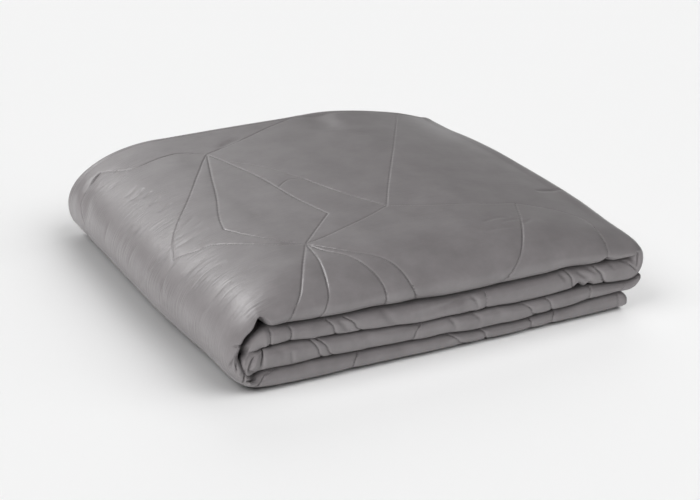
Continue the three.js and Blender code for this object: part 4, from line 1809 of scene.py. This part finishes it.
@dataclass(frozen=True)
class Lamp:
    """A far soft light: where it stands round the pile (from +X towards +Y), its strength and its width."""

    name: str
    azimuth: float
    elevation: float
    strength: float
    softness: float
    lights: Lights = Lights.MATT

    def build(self, receivers: bpy.types.Collection) -> bpy.types.Object:
        """Makes the lamp.

        Args:
            receivers: What the lamp lights; everything in its way still casts a shadow.

        Returns:
            The lamp's object.
        """
        data = bpy.data.lights.new(self.name, "SUN")
        data.energy = self.strength
        data.angle = math.radians(self.softness)
        lamp = link(bpy.data.objects.new(self.name, data))
        lamp.rotation_euler = (math.radians(90 - self.elevation), 0, math.radians(self.azimuth + 90))
        lamp.visible_diffuse = self.lights is not Lights.GLOSS
        lamp.visible_glossy = self.lights is Lights.GLOSS
        lamp.light_linking.receiver_collection = receivers
        return lamp


LAMPS = (
    Lamp("left", 210, 25, 2.85, 40),
    Lamp("back", 90, 25, 1.63, 40),
    Lamp("top", 0, 90, 0.76, 60),
    Lamp("right_fill", -10, 25, 0.6, 60),
    Lamp("shoulder_gloss", 115, 43, 1.3, 30, Lights.GLOSS),
    Lamp("wrap_gloss", 130, 32, 0.3, 30, Lights.GLOSS),
    Lamp("back_gloss", 78, 20, 0.1, 20, Lights.GLOSS),
    Lamp("floor_front_right", -60, 50, 1.08, 40, Lights.FLOOR),
    Lamp("floor_left", 180, 50, 0.99, 40, Lights.FLOOR),
    Lamp("floor_right", 0, 50, 0.72, 40, Lights.FLOOR),
    Lamp("floor_right_low", -30, 25, 0.71, 40, Lights.FLOOR),
    Lamp("floor_top", 0, 90, 0.4, 60, Lights.FLOOR),
    Lamp("floor_back", 60, 25, 0.75, 40, Lights.FLOOR),
)


@dataclass
class Studio:
    """A pale floor, soft light and the camera at the photograph's viewing angle."""

    camera_place: tuple[float, float, float] = (-940.9, -1891.3, 932.6)
    azimuth: float = -26.607
    elevation: float = 23.155
    lens: float = 90.0
    sensor: float = 36.0
    view_reach_m: float = 50.0
    floor_half_m: float = 10.0
    floor_drop: float = 0.4
    backdrop: str = "F4F4F4"
    floor_finish: StudioFloor = StudioFloor()

    def build(self, pieces: list[bpy.types.Object]) -> None:
        """Makes the camera, the lights and the floor.

        Args:
            pieces: The blanket's pieces, which have lamps of their own.
        """
        self._camera()
        floor = self._floor()
        receivers = {Lights.FLOOR: self._lit("lit_floor", [floor])}
        receivers[Lights.MATT] = receivers[Lights.GLOSS] = self._lit("lit_blanket", pieces)
        for lamp in LAMPS:
            lamp.build(receivers[lamp.lights])
        self._backdrop()
        bpy.context.scene.view_settings.view_transform = "Standard"

    def _backdrop(self) -> None:
        """Hangs a pale backdrop beyond the floor, which the camera sees and which gives no light."""
        world = bpy.data.worlds.new("backdrop")
        world.use_nodes = True
        world.node_tree.nodes["Background"].inputs["Color"].default_value = srgb(self.backdrop)
        for ray in ("diffuse", "glossy", "transmission", "scatter"):
            setattr(world.cycles_visibility, ray, False)
        bpy.context.scene.world = world

    @staticmethod
    def _lit(name: str, objects: list[bpy.types.Object]) -> bpy.types.Collection:
        """Gathers what a set of lamps lights.

        Args:
            name: Name of the collection.
            objects: What it holds.

        Returns:
            The new collection.
        """
        collection = bpy.data.collections.new(name)
        for obj in objects:
            collection.objects.link(obj)
        return collection

    def _camera(self) -> None:
        """Stands the camera where the photograph was taken from."""
        camera = link(bpy.data.objects.new("camera", bpy.data.cameras.new("camera")))
        camera.location = Vector(self.camera_place) * MM
        camera.rotation_euler = (math.radians(90 - self.elevation), 0, math.radians(self.azimuth))
        camera.data.lens = self.lens
        camera.data.sensor_width = self.sensor
        camera.data.clip_end = self.view_reach_m
        bpy.context.scene.camera = camera

    def _floor(self) -> bpy.types.Object:
        """Lays the floor just under the pile.

        Returns:
            The floor's object.
        """
        bm = bmesh.new()
        bmesh.ops.create_grid(bm, x_segments=1, y_segments=1, size=self.floor_half_m)
        bmesh.ops.translate(bm, verts=bm.verts, vec=(0, 0, -self.floor_drop * MM))
        mesh = bpy.data.meshes.new("floor")
        bm.to_mesh(mesh)
        bm.free()
        floor = link(bpy.data.objects.new("floor", mesh))
        mesh.materials.append(self.floor_finish.material())
        return floor


def main() -> None:
    """Builds the dressed blanket and its studio."""
    logging.basicConfig(level=logging.INFO, format="%(name)s: %(message)s")
    low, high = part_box(CAD_NODE)
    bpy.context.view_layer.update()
    strip = FoldedStrip(left=low.x / MM, right=high.x / MM, front=low.y / MM, back=high.y / MM)
    cloth_maker = BlanketCloth(strip)
    cloth = cloth_maker.build()
    thread = QuiltingThread().build(cloth)
    for piece in (cloth, thread):
        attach(piece, BODY)
        piece.data.calc_loop_triangles()
        LOG.info("%s: %d triangles", piece.name, len(piece.data.loop_triangles))
    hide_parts(CAD_NODE)
    Studio().build([cloth, thread])


if __name__ == "__main__":
    main()
